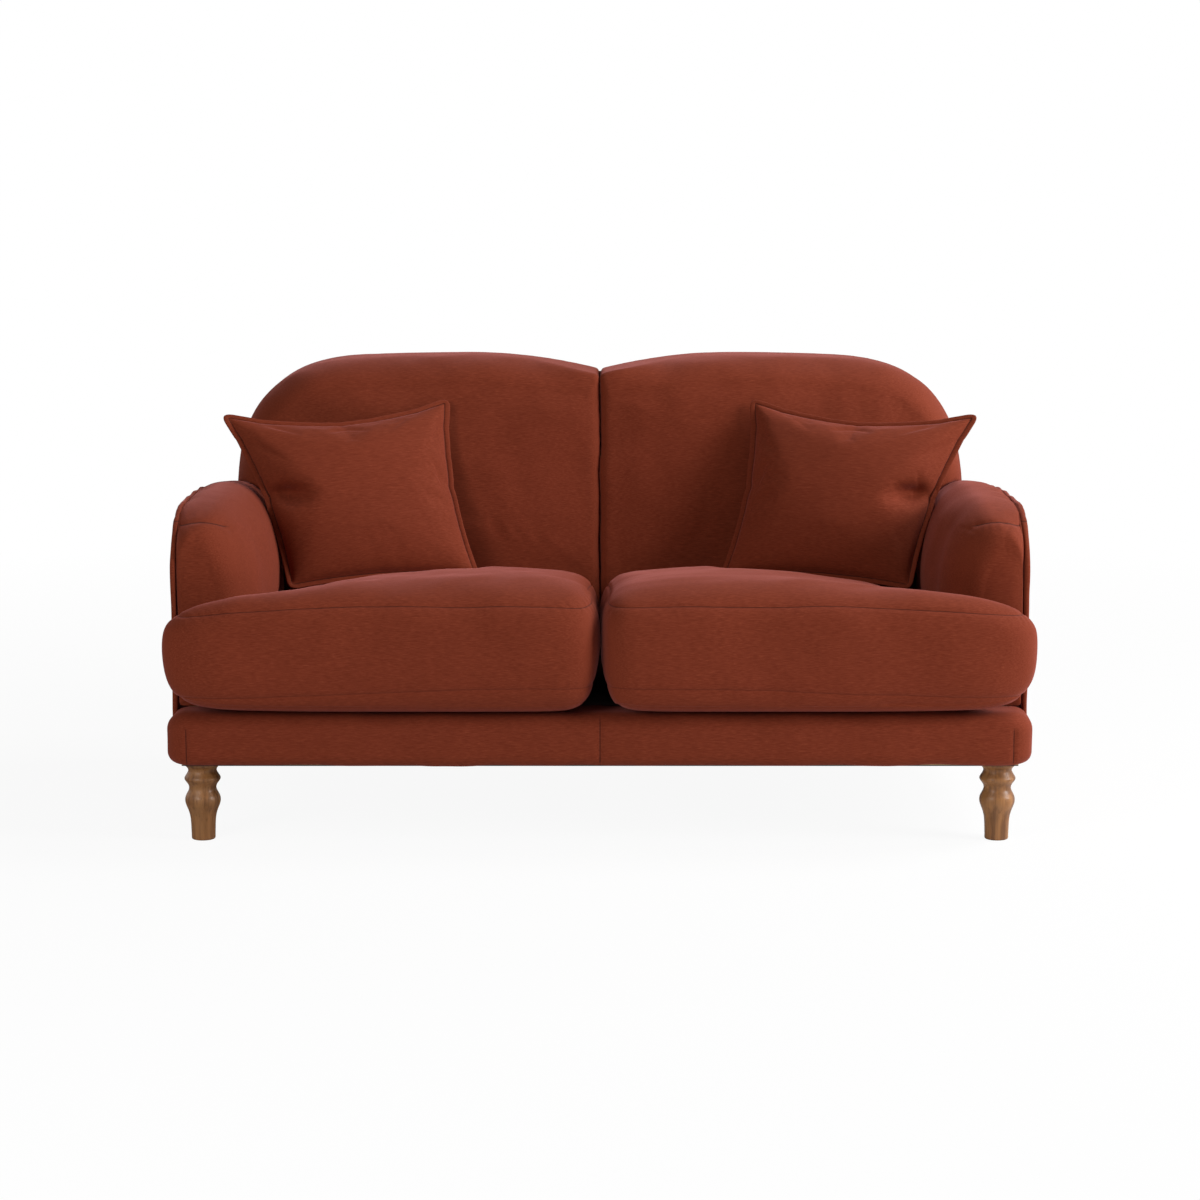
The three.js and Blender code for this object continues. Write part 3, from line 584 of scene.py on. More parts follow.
def softened(piece, seed, high, length, where=1.0):
    """A slight unevenness, as filling has under tight cloth: broad swells with finer ones on them."""
    spots = places(piece)
    fine = ripple(spots, length / FINE_SWELL_TIMES, seed + 9) * high * FINE_SWELL_SHARE
    swell = ripple(spots, length, seed) * high + fine
    move_to(piece, spots + facings(piece) * (swell * where)[:, None])


# Seat cushions

# The right cushion's cage: its ends, how its corners draw in, and its crown, hollow and ear
SEAT_LEVELS = 5
SEAT_SMOOTHING = 6
SEAT_FRONT = -0.480
SEAT_END = 0.800
CAGE_SWELL = 0.0031
END_SWELL = 0.0068
INNER_SWELL = 0.012
ARM_CLEARANCE = 0.002
EAR_CREASE = 0.040
EAR_GAP = 0.009
EDGE_HIGH = 0.466
REAR_DROP = 0.034
ARM_DROP = 0.010
CROWN = 0.028
ARM_CROWN = 0.018
END_CROWN = 0.020
INNER_END = 0.085
SIDE_DRAW = 0.007
LOW_CORNER = 0.015
TOP_CORNER = 0.006
UPPER_FACE = (0.39, 0.45)
HOLLOW = 0.014
HOLLOW_FRONT = (-0.17, -0.05)
HOLLOW_SIDE = (0.20, 0.30)
EAR_FRONT = (-0.30, -0.36)
EAR_RISE = ((0.40, 0), (0.50, 0.002), (0.585, 0.005), (0.665, -0.001), (0.73, -0.009), (0.80, -0.014))
CROWN_RISE = ((0.38, 0), (0.46, -0.004), (0.55, -0.009), (0.60, -0.006), (0.64, 0))


def seat_shape():
    """The right seat cushion: a crowned box whose front ear wraps the arm."""
    low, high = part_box("seat_cover_right")
    arm_low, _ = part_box("arm_pad_right")
    arm_side = arm_low.x - ARM_CLEARANCE - INNER_SWELL
    third = (arm_side - low.x) / 3
    xs = (low.x, low.x + INNER_END, low.x + third, arm_side - third, arm_side, SEAT_END)
    ear_rear = arm_low.y - EAR_GAP
    ys = (SEAT_FRONT, ear_rear, ear_rear + EAR_CREASE, (ear_rear + EAR_CREASE + high.y) / 2, high.y)

    def place(i, j, k):
        rear_drop = REAR_DROP * max(ys[j] - ys[2], 0) / (ys[4] - ys[2])
        edge = EDGE_HIGH - rear_drop - (ARM_DROP if i == 4 and j > 1 else 0)
        crown = (0, END_CROWN, CROWN, ARM_CROWN, 0, 0)[i] if 0 < j < 4 else 0
        front_drawn = 0 if k == 1 else SIDE_DRAW
        drawn = front_drawn + (LOW_CORNER if k == 0 else 0)
        side_moves = {0: drawn - CAGE_SWELL, 5: END_SWELL - drawn - (TOP_CORNER if k == 2 else 0)}
        x = xs[i] + side_moves.get(i, 0)
        y = ys[j] + (front_drawn - CAGE_SWELL if j == 0 else 0)
        bottom = low.z + (LOW_CORNER / 3 if i in side_moves else 0)
        return (x, y, (bottom, (low.z + edge) / 2, edge + crown)[k])

    piece = cage("seat_form", (5, 4, 2), lambda i, j, k: i < 4 or j == 0, place)
    shaped(piece, "SUBSURF", levels=SEAT_LEVELS, render_levels=SEAT_LEVELS)
    spots = places(piece)
    for axis in range(3):
        part = spots[:, axis]
        start, end = low[axis], high[axis]
        spots[:, axis] = start + (part - part.min()) * (end - start) / (part.max() - part.min())
    x, y, z = spots.T
    sunk = smooth_step(y, *HOLLOW_FRONT) * smooth_step(x, *HOLLOW_SIDE) * HOLLOW
    ahead = smooth_step(y, *EAR_FRONT)
    rise = along_stations(x, EAR_RISE) * ahead + along_stations(x, CROWN_RISE) * (1 - ahead)
    spots[:, 2] += smooth_step(z, *UPPER_FACE) * (rise - sunk)
    move_to(piece, spots)
    return shaped(piece, "SMOOTH", factor=0.5, iterations=SEAT_SMOOTHING)


# The two boxing seams: the upper one falls along the ear and to the rear
SEAM_HIGH = 0.449
SEAM_LOW = 0.299
SEAM_EAR_FALL = 0.020
SEAM_EAR_START = 0.42
SEAM_EAR_RUN = 0.35
SEAM_EAR_END = 1.1
SEAM_EAR_POWER = 1.8
SEAM_INNER_FALL = 0.003
SEAM_INNER_RUN = 0.1
SEAM_REAR_FALL = 0.030
SEAM_REAR_RUN = (-0.25, 0.12)
SEAM_LOW_FALL = 0.020
SEAM_LOW_RUN = (0.12, 0.80)
# How plainly each boxing seam shows: the depth of its bump groove and of the painted shade along it
SEAM_HIGH_PLAINNESS = 0.85
SEAM_LOW_PLAINNESS = 0.45
SEAT_FLAT_UNDER = -0.7
LEAST_SLANT = 0.05
SEAT_SEEDS = {"left": 40, "right": 70}


def seat_seams(spots, out):
    """The gap along the surface to the nearer of the two boxing seams, above zero between them."""
    x = np.abs(spots[:, 0])
    along_ear = np.clip((x - SEAM_EAR_START) / SEAM_EAR_RUN, 0, SEAM_EAR_END)
    upper = SEAM_HIGH - SEAM_EAR_FALL * along_ear ** SEAM_EAR_POWER
    upper -= SEAM_INNER_FALL * np.clip(1 - x / SEAM_INNER_RUN, 0, 1)
    upper -= SEAM_REAR_FALL * smooth_step(spots[:, 1], *SEAM_REAR_RUN)
    lower = SEAM_LOW - SEAM_LOW_FALL * smooth_step(x, *SEAM_LOW_RUN)
    slant = np.sqrt(np.clip(1 - out[:, 2] ** 2, LEAST_SLANT, 1))
    return np.minimum((upper - spots[:, 2]) / slant, (spots[:, 2] - lower) / slant)


def seat_cushion(base, side):
    piece = side_piece(base, "seat_cushion", side)
    seed = SEAT_SEEDS[side]
    spots = places(piece)
    above = np.where(facings(piece)[:, 2] < SEAT_FLAT_UNDER, 0.0, 1.0)
    softened(piece, seed, high=0.0016, length=0.20, where=above)
    seam = seat_seams(spots, facings(piece))
    upper_half = spots[:, 2] > (SEAM_HIGH + SEAM_LOW) / 2
    seam_groove_and_shade = np.where(upper_half, SEAM_HIGH_PLAINNESS, SEAM_LOW_PLAINNESS)
    sewn(piece, seam, spots[:, 0] + spots[:, 1], seed, deep=0.0014, pucker=0.0004, pitch=0.021, broad=0.0012)
    cloth_values(piece, seam, seam_groove_and_shade)
    names = (f"seat_cover_{side}", f"seat_core_{side}")
    return dressed(piece, rust, f"seat_cushion_{side}", names)


# Arms

# The section and the line of the arm's crown
CROWN_RUN = 0.094
CROWN_DRAWN_SHARE = 0.5
INNER_RISE = 0.171
PEAK_SET = 0.280
REAR_FALL = 0.045
CROWN_HIGH = 0.6195
CROWN_AT = 0.05
CROWN_FALL = 0.054
CROWN_FALL_POWER = 1.4
# The rounded front end
NOSE_SIDE = 0.072
NOSE_SIDE_DEEP = 0.12
NOSE_TOP = 0.088
NOSE_POWER = 3
NOSE_RUN = 0.16
NOSE_EDGE = 0.004
NOSE_EDGE_DEEP = 0.02
NOSE_BULGE = 0.004
NOSE_SHARES = (0.97, 0.92, 0.85, 0.76, 0.66, 0.55, 0.43, 0.31, 0.19, 0.08)
# The swell of the inner side over the seat, with the heights between which it grows
SWELL_AT = -0.03
SWELL_REACH = 0.14
SWELL_RUN = (0.370, 0.430)
SWELL_FADE_POWER = 0.7
# The outside panel's narrow strip, with a slightly waved edge
STRIP_WIDE = 0.0105
STRIP_CORNER_DEEP = 0.160
STRIP_CORNER_HIGH = 0.110
STRIP_LOWER = 0.0018
STRIP_UNDER_CROWN = 0.004
PANEL_GAP = 0.0005
EDGE_SCALLOP = 0.0011
SCALLOP_PITCH = 0.105
SCALLOP_START = 0.12
SCALLOP_RUN = 0.1
# The leaning rear, which the arms, the panels and the back share
REAR_LEAN = 0.125
BACK_SKIN = 0.008
REAR_AT_TOP = 0.480
REAR_CLEARANCE = 0.0003
ARM_LAST_RING = 0.03


def rear_plane(z):
    """Where the leaning rear of the back lies at a height."""
    return REAR_AT_TOP - BACK_SKIN - (frame_box[1][2] - z) * REAR_LEAN


def rounded_in(depth, reach, amount):
    """How far an edge that is rounded over the reach has drawn in at a depth."""
    return amount * (1 - math.sqrt(1 - max(1 - depth / reach, 0) ** 2))


ARM_LOW, ARM_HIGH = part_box("arm_pad_right")
PANEL_LOW, PANEL_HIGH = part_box("outside_arm_panel_right")
ARM_PEAK = PANEL_LOW.y + PEAK_SET
ARM_REAR = rear_plane(ARM_HIGH.z)


def arm_fall(y):
    """How far the arm's outer edge has dropped behind its peak."""
    return REAR_FALL * (max(y - ARM_PEAK, 0) / (ARM_REAR - ARM_PEAK)) ** 2


def strip_height(y):
    """The height of the outside panel's upper edge."""
    depth = max(y - PANEL_LOW.y, 0)
    drawn = rounded_in(depth, STRIP_CORNER_DEEP, STRIP_CORNER_HIGH)
    waved = min(max(depth - SCALLOP_START, 0) / SCALLOP_RUN, 1)
    scallop = EDGE_SCALLOP * math.cos(2 * math.pi * y / SCALLOP_PITCH) * waved
    return PANEL_HIGH.z - drawn - arm_fall(y) + scallop


def crown_height(y):
    """The height of the arm's crown: one long curve up from the front and a fall to the rear."""
    ahead = max((CROWN_AT - y) / (CROWN_AT - PANEL_LOW.y), 0)
    behind = max((y - CROWN_AT) / (ARM_REAR - CROWN_AT), 0)
    drawn = NOSE_TOP * (1 - max(1 - ahead ** NOSE_POWER, 0) ** (1 / NOSE_POWER))
    return CROWN_HIGH - drawn - CROWN_FALL * behind ** CROWN_FALL_POWER


def arm_section(y, depth, grow, counts, swelling, y_of=None):
    """A ring round the arm: up its inner side, over its crown, down its outer side and back beneath."""
    low, high = ARM_LOW, ARM_HIGH
    drawn = rounded_in(depth, NOSE_SIDE_DEEP, NOSE_SIDE)
    inner = low.x + drawn - grow
    outer = PANEL_HIGH.x - STRIP_WIDE - PANEL_GAP - rounded_in(depth, NOSE_EDGE_DEEP, NOSE_EDGE) + grow
    top = crown_height(y)
    edge = min(strip_height(y) - STRIP_LOWER, top - STRIP_UNDER_CROWN) + grow
    top += grow
    crown = low.x + CROWN_RUN + drawn * CROWN_DRAWN_SHARE
    spring = high.z - INNER_RISE
    bottom = low.z - grow
    swell = INNER_SWELL * math.exp(-((y - SWELL_AT) / SWELL_REACH) ** 4) if swelling else 0.0
    line = []
    for k in range(counts["inner"]):
        z = bottom + (spring - bottom) * k / counts["inner"]
        line.append((inner - swell * float(smooth_step(z, *SWELL_RUN)), z))
    for a in quarter(counts["rise"]):
        x = crown - (crown - inner) * math.cos(a) - swell * math.cos(a) ** SWELL_FADE_POWER
        line.append((x, spring + (top - spring) * math.sin(a)))
    line += [(crown + (outer - crown) * math.sin(a), edge + (top - edge) * math.cos(a))
             for a in quarter(counts["fall"])[1:]]
    line += [(outer, edge + (bottom - edge) * k / counts["outer"]) for k in range(1, counts["outer"] + 1)]
    line += [(outer + (inner - outer) * k / counts["under"], bottom) for k in range(1, counts["under"])]
    return [(x, y_of(z) if y_of else y, z) for x, z in line]


def arm_form(name, grow, rear_extra, fine):
    """The right arm. Its plain form only cuts room for it, and has upright rings and no swell."""
    if fine:
        counts = {"inner": 22, "rise": 38, "fall": 22, "outer": 34, "under": 8, "body": 84, "nose": 34}
    else:
        counts = {"inner": 4, "rise": 12, "fall": 8, "outer": 4, "under": 1, "body": 8, "nose": 8}
    front = PANEL_LOW.y
    start = front + NOSE_RUN
    reach = ARM_REAR - start - ARM_LAST_RING

    def leaning(share):
        """A ring of the body, upright at the nose and leaning with the rear plane at the rear."""
        y_of = (lambda z: start + (rear_plane(z) - start - ARM_LAST_RING) * share) if fine else None
        return arm_section(start + reach * share, 1.0, grow, counts, fine, y_of)

    rings = [arm_section(ARM_REAR, 1.0, grow, counts, fine, lambda z: rear_plane(z) + rear_extra)]
    rings += [leaning(1 - k / counts["body"]) for k in range(counts["body"] + 1)]
    for a in quarter(counts["nose"])[1:]:
        depth = NOSE_RUN * (1 - math.sin(a))
        rings.append(arm_section(front + depth - grow, depth, grow, counts, fine))
    rings += drawn_rings(rings[-1], NOSE_SHARES, None,
                         lambda drawn, share: drawn[:, 1] - NOSE_BULGE * (1 - share ** 2))
    return lofted(name, rings)


def arm_shape():
    piece = arm_form("arm_base", grow=0.0, rear_extra=-REAR_CLEARANCE, fine=True)
    return shaped(piece, "SUBSURF", levels=1, render_levels=1)


# The dart and the dimple at its end, as seen in the upright plane of the panel's front
DART_PLACES = ((0.783, 0.5835), (0.756, 0.590), (0.7375, 0.5915), (0.719, 0.590), (0.700, 0.586),
               (0.683, 0.5815))
DART_START = (-0.002, 0.001)
DART_FADE = 0.012
DART_OVERRUN = 0.003
FACES_FRONT = (0.02, 0.2)
DIMPLE = (0.682, 0.576)
DIMPLE_DEEP = 0.0024
DIMPLE_REACH = 0.006
RAYS_HIGH = 0.0003
RAYS_AT = 0.014
RAYS_REACH = 0.010
RAYS = 5
RAYS_TURN = 0.6
FAR = 9.0
OUT_OF_REACH = 0.05
ARM_FLAT_SIDE = 0.97
ARM_SEEDS = {"left": 110, "right": 140}


def line_gap(flat, route):
    """The signed gap from points in a plane to a line through the places, and the run along it.

    The end stretches go on past their ends, where the run is below zero or above the line's length.
    """
    best = np.full(len(flat), FAR)
    along = np.zeros(len(flat))
    passed = 0.0
    last = len(route) - 2
    for k, (start, end) in enumerate(zip(route[:-1], route[1:])):
        start, end = np.array(start), np.array(end)
        way = end - start
        length = np.linalg.norm(way)
        share = ((flat - start) @ way) / length ** 2
        share = np.clip(share, -FAR if k == 0 else 0.0, FAR if k == last else 1.0)
        off = flat - start - share[:, None] * way
        gap = np.linalg.norm(off, axis=1)
        gap *= np.where(way[0] * off[:, 1] - way[1] * off[:, 0] < 0, -1, 1)
        nearer = np.abs(gap) < np.abs(best)
        along = np.where(nearer, passed + share * length, along)
        best = np.where(nearer, gap, best)
        passed += length
    return best, along


def seen_flat(spots, plane):
    """Places moved along the lines of sight into an upright plane, where the marks were measured."""
    _, eye_y, eye_z = CAMERA_PLACE
    share = (plane - eye_y) / (spots[:, 1] - eye_y)
    return np.column_stack((np.abs(spots[:, 0]) * share, eye_z + (spots[:, 2] - eye_z) * share))


def arm(base, side):
    piece = side_piece(base, "arm", side)
    seed = ARM_SEEDS[side]
    spots = places(piece)
    out = facings(piece)
    softened(piece, seed, high=0.0005, length=0.16)
    flat = seen_flat(spots, PANEL_LOW.y)
    faces_front = smooth_step(-out[:, 1], *FACES_FRONT)
    dart, along = line_gap(flat, DART_PLACES)
    dart_length = np.linalg.norm(np.diff(np.array(DART_PLACES), axis=0), axis=1).sum()
    on_dart = smooth_step(along, *DART_START) * faces_front
    on_dart *= smooth_step(along, dart_length + DART_OVERRUN, dart_length - DART_FADE)
    dimple = np.linalg.norm(flat - np.array(DIMPLE), axis=1) + (1 - faces_front) * OUT_OF_REACH
    edge = np.array([strip_height(y) for y in spots[:, 1]]) - STRIP_LOWER - spots[:, 2]
    edge = np.where(np.abs(out[:, 0]) > ARM_FLAT_SIDE, OUT_OF_REACH, edge)
    across = np.abs(spots[:, 0])
    edge += across.max() - across
    sewn(piece, dart, along, seed, deep=0.0016, pucker=0.0003, pitch=0.02, broad=0.002, where=on_dart)
    run = spots[:, 1] - spots[:, 2]
    sewn(piece, edge, run, seed + 3, deep=0.0004, pucker=0.0004, pitch=0.03, broad=0.0008)
    angle = np.arctan2(flat[:, 1] - DIMPLE[1], flat[:, 0] - DIMPLE[0])
    rays = RAYS_HIGH * np.cos(angle * RAYS + RAYS_TURN) * bell(dimple - RAYS_AT, RAYS_REACH)
    sunk = DIMPLE_DEEP * bell(dimple, DIMPLE_REACH)
    move_to(piece, places(piece) + facings(piece) * (rays - sunk)[:, None])
    cloth_values(piece, dart, on_dart)
    return dressed(piece, rust, "root", (f"arm_pad_{side}",))


# Outside arms

# The edge is a line of (through, inset) places from the inner face to the outer one
PANEL_REAR_CLEARANCE = 0.0004
PANEL_EDGE = ((0.0, 0.0042), (0.0006, 0.0022), (0.0018, 0.0007), (0.0038, 0.0), (0.0064, 0.0),
              (0.0086, 0.0008), (0.0099, 0.0024), (STRIP_WIDE, 0.0048))
PANEL_SHARES = (0.97, 0.92, 0.84, 0.74, 0.62, 0.5, 0.38, 0.26, 0.14, 0.04)
PANEL_STEPS = {"front": 44, "corner": 40, "top": 75, "rear": 43, "under": 70}
SLOPE_REACH = 0.002
UPRIGHT_SLOPE = 40.0
PANEL_FACE = (0.790, 0.795)
# The seam across the strip, and the small tucks round its upper corner
JOINT_HIGH = 0.583
JOINT_FRONT = -0.27
# How plainly the seam across the strip shows: its bump groove and its painted shade
JOINT_PLAINNESS = 0.8
CORNER_TUCKS = (-0.28, 0.59)
CORNER_TUCKS_REACH = 0.05
CORNER_TUCKS_HIGH = 0.0007
CORNER_TUCKS_PITCH = 0.024
PANEL_SEEDS = {"left": 170, "right": 190}


def strip_slope(y):
    if y <= PANEL_LOW.y + 1.5 * SLOPE_REACH:
        return UPRIGHT_SLOPE
    return (strip_height(y + SLOPE_REACH) - strip_height(y - SLOPE_REACH)) / (2 * SLOPE_REACH)


def panel_shape():
    """The right outside panel: a thin padded board whose edge shows as a narrow strip."""
    low, high = PANEL_LOW, PANEL_HIGH
    rear_top = rear_plane(high.z - REAR_FALL) - PANEL_REAR_CLEARANCE
    stations = [low.y + STRIP_CORNER_DEEP * (1 - math.cos(a)) for a in quarter(PANEL_STEPS["corner"])]
    stations += list(np.linspace(stations[-1], rear_top, PANEL_STEPS["top"] + 1)[1:])

    def outline(inset):
        steps = PANEL_STEPS["front"]
        bottom = low.z + inset
        rise = strip_height(low.y) - low.z - inset
        line = [(low.y + inset, bottom + rise * k / steps) for k in range(steps)]
        for y in stations:
            slope = strip_slope(y)
            scale = math.hypot(slope, 1)
            line.append((y + inset * slope / scale, strip_height(y) - inset / scale))
        top = line[-1][1]
        line += [(rear_plane(z) - PANEL_REAR_CLEARANCE - inset, z)
                 for z in np.linspace(top, bottom, PANEL_STEPS["rear"] + 1)[1:]]
        end = line[-1][0]
        steps = PANEL_STEPS["under"]
        return line + [(end + (low.y + inset - end) * k / steps, bottom) for k in range(1, steps)]

    first = high.x - STRIP_WIDE
    rings = [[(first + x, y, z) for y, z in outline(inset)] for x, inset in PANEL_EDGE]
    middle = ((low.y + rear_top) / 2, (low.z + high.z) / 2)
    inner_face = drawn_rings(rings[0], PANEL_SHARES, (rings[0][0][0], *middle))
    outer_face = drawn_rings(rings[-1], PANEL_SHARES, (rings[-1][0][0], *middle))
    return lofted("outside_arm_base", inner_face[::-1] + rings + outer_face)


def outside_arm(base, side):
    piece = side_piece(base, "outside_arm", side)
    spots = places(piece)
    on_face = smooth_step(np.abs(spots[:, 0]), *PANEL_FACE)
    softened(piece, PANEL_SEEDS[side], high=0.0006, length=0.14, where=on_face)
    corner_y, corner_z = CORNER_TUCKS
    turn = bell(spots[:, 1] - corner_y, CORNER_TUCKS_REACH) * bell(spots[:, 2] - corner_z, CORNER_TUCKS_REACH)
    rows = np.cos((spots[:, 1] - spots[:, 2]) * 2 * math.pi / CORNER_TUCKS_PITCH)
    spots = places(piece) + facings(piece) * (CORNER_TUCKS_HIGH * rows * turn)[:, None]
    move_to(piece, spots)
    cloth_values(piece, spots[:, 2] - JOINT_HIGH, np.where(spots[:, 1] < JOINT_FRONT, JOINT_PLAINNESS, 0.0))
    return dressed(piece, rust, "root", (f"outside_arm_panel_{side}",))


# Back

# The arch of one half, the roundings of its edge and the rake of its front
BACK_SHOULDER_WIDE = 0.300
BACK_SHOULDER_HIGH = 0.289
SHOULDER_POWER = 3
BACK_APEX = 0.230
BACK_DROOP = 0.006
BACK_ROUND = 0.052
BACK_REAR_ROUND = 0.014
BACK_BULGE = 0.022
BACK_ROUND_DEEP = 0.105
BACK_ROUND_RUN = (0.03, 0.16)
BACK_SHARES = (0.9, 0.78, 0.64, 0.5, 0.36, 0.22, 0.1)
SEAM_ROUND_DEEP = 0.018
SEAM_DIP = 0.031
SEAM_RUN = 0.280
SEAM_HALF_GAP = 0.0008
SEAM_INSET = 0.45
SEAM_CORNER = 0.012
SEAM_CORNER_DROP = 0.002
SEAM_CORNER_SHARES = (0, 0.03, 0.1, 0.2, 0.35, 0.55, 0.8, 1)
BACK_STEPS = {"seam": 14, "arch": 29, "shoulder": 24, "side": 10, "rear_round": 4, "front_round": 14}
PAD_AT_SEAT = 0.173
RAKE_START = 0.440
FRONT_RAKE = 0.227
BACK_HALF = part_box("back_pad_right")[1].x
BACK_TOP = frame_box[1][2]


def front_plane(z):
    """Where the raked front of the back pad lies at a height."""
    return PAD_AT_SEAT + max(z - RAKE_START, 0) * FRONT_RAKE


def back_top(x, inset):
    """The height of the back's upper edge at a distance from the middle."""
    reach = min(max(x - BACK_HALF + BACK_SHOULDER_WIDE, 0) / (BACK_SHOULDER_WIDE - inset), 1)
    arch = (1 - reach ** SHOULDER_POWER) ** (1 / SHOULDER_POWER) * (BACK_SHOULDER_HIGH - inset)
    droop = BACK_DROOP * ((x - BACK_APEX) / BACK_SHOULDER_WIDE) ** 2
    dip = min(max(SEAM_RUN - x, 0) / SEAM_RUN, 1)
    return BACK_TOP - BACK_SHOULDER_HIGH + arch - droop - SEAM_DIP * dip ** 2


def shoulder_places(inset, steps):
    """Distances from the middle over the round shoulder, closer together where it falls steeply."""
    centre = BACK_HALF - BACK_SHOULDER_WIDE
    reach = BACK_SHOULDER_WIDE - inset
    return [centre + reach * math.sin(a) ** (2 / SHOULDER_POWER) for a in quarter(steps)[1:]]


def back_outline(inset, low_level):
    """The right half of the back seen from the front, from the foot of its seam round to its outer foot."""
    seam = SEAM_HALF_GAP + inset * SEAM_INSET

    def top(x):
        corner = min(max(SEAM_CORNER + seam - x, 0) / SEAM_CORNER, 1)
        return back_top(x, inset) - SEAM_CORNER_DROP * (1 - math.sqrt(1 - corner ** 2))

    xs = [seam + SEAM_CORNER * share for share in SEAM_CORNER_SHARES]
    xs += list(np.linspace(xs[-1], BACK_HALF - BACK_SHOULDER_WIDE, BACK_STEPS["arch"] + 1)[1:])
    xs += shoulder_places(inset, BACK_STEPS["shoulder"])
    outer, end = xs[-1], top(xs[-1])
    steps = BACK_STEPS["seam"]
    inner_side = [(seam, low_level + (top(seam) - low_level) * k / steps) for k in range(steps)]
    steps = BACK_STEPS["side"]
    outer_side = [(outer, end + (low_level - end) * k / steps) for k in range(1, steps + 1)]
    return inner_side + [(x, top(x)) for x in xs] + outer_side


# The rooms cut out of the back for the arm and for the wooden frame
BACK_VOXEL = 0.005
ARM_ROOM = 0.0015
ARM_ROOM_REAR = 0.02
POST_DEEP = 0.0335
FRAME_ROOM_SIDE = 0.6205
FRAME_ROOM_TOP = 0.7835
OVERRUN = 0.01


def frame_room(low_level):
    """The space of the wooden back frame, which leans with the rear."""
    room = block("frame_room", (-OVERRUN, -1.0, low_level - OVERRUN), (FRAME_ROOM_SIDE, 1.0, FRAME_ROOM_TOP))
    spots = places(room)
    for spot in spots:
        spot[1] = rear_plane(spot[2]) + (OVERRUN if spot[1] > 0 else -POST_DEEP)
    move_to(room, spots)
    return room


def back_shape():
    """The right half of the back: a padded arch, with room for the arm and for the frame's posts."""
    low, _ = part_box("back_pad_right")

    def ring(inset, through):
        return [(x, through(x, z), z) for x, z in back_outline(inset, low.z)]

    def rear_round(a):
        return lambda x, z: rear_plane(z) - REAR_CLEARANCE - BACK_REAR_ROUND * (1 - math.cos(a))

    def front_round(a):
        def through(x, z):
            share = float(smooth_step(x, *BACK_ROUND_RUN))
            deep = SEAM_ROUND_DEEP + (BACK_ROUND_DEEP - SEAM_ROUND_DEEP) * share
            return front_plane(z) + deep * (1 - math.sin(a))
        return through

    def bulged(drawn, share):
        return [max(front_plane(z) - BACK_BULGE * (1 - share ** 2), PAD_AT_SEAT) for z in drawn[:, 2]]

    rings = [ring(BACK_REAR_ROUND * (1 - math.sin(a)), rear_round(a))
             for a in quarter(BACK_STEPS["rear_round"])]
    rings += [ring(BACK_ROUND * (1 - math.cos(a)), front_round(a))
              for a in quarter(BACK_STEPS["front_round"])]
    rings += drawn_rings(rings[-1], BACK_SHARES, None, bulged)
    piece = lofted("back_base", rings)
    carved(piece, arm_form("arm_room", grow=ARM_ROOM, rear_extra=ARM_ROOM_REAR, fine=False))
    carved(piece, frame_room(low.z))
    return remeshed(piece, BACK_VOXEL, smooth_turns=5)


# The tucks that the middle seam gathers
BACK_FRONT = (-0.2, 0.3)
SEAM_SLANT = 1.2
TUCK_HIGH = 0.0004
TUCK_PITCH = 0.03
TUCK_REACH = 0.03
TUCK_WANDER = 2
TUCK_WANDER_LENGTH = 0.1
BACK_SEEDS = {"left": 240, "right": 270}


def back_half(base, side):
    piece = side_piece(base, "back", side)
    seed = BACK_SEEDS[side]
    spots = places(piece)
    out = facings(piece)
    front = smooth_step(-out[:, 1], *BACK_FRONT)
    softened(piece, seed, high=0.0018, length=0.22, where=front)
    draw = np.exp(-np.abs(spots[:, 0]) / TUCK_REACH)
    wander = ripple(spots, TUCK_WANDER_LENGTH, seed) * TUCK_WANDER
    tucks = TUCK_HIGH * np.cos(spots[:, 2] * 2 * math.pi / TUCK_PITCH + wander) * draw * front
    move_to(piece, places(piece) + out * tucks[:, None])
    cloth_values(piece, spots[:, 0] * SEAM_SLANT)
    return dressed(piece, rust, "root", (f"back_pad_{side}",))


# Outside back

# The board ends below the back's edge and is notched over the arms
BOARD_SEED = 210
BOARD_LOWER = 0.004
BOARD_SEAM_LOWER = 0.0008
BOARD_NOTCH = 0.018
BOARD_NOTCH_DROP_SHARE = 0.4
BOARD_ARM_DROP = 0.045
BOARD_HUB = 0.42
BOARD_EDGE = ((0.0, 0.0035), (0.0006, 0.0016), (0.002, 0.0002), (0.0058, 0.0002), (0.0073, 0.0018),
              (0.0078, 0.004))
BOARD_STEPS = {"arch": 59, "top": 5, "shoulder": 60, "notch": 11, "corner": 20, "side": 49, "foot": 89}
BOARD_SHARES = (0.975, 0.94, 0.89, 0.82, 0.74, 0.65, 0.56, 0.47, 0.38, 0.29, 0.2, 0.11, 0.04)


def curve_point(first, second, third, share):
    """A point on the arc from the first place to the third that heads for the second."""
    return tuple((1 - share) ** 2 * a + 2 * share * (1 - share) * b + share ** 2 * c
                 for a, b, c in zip(first, second, third))


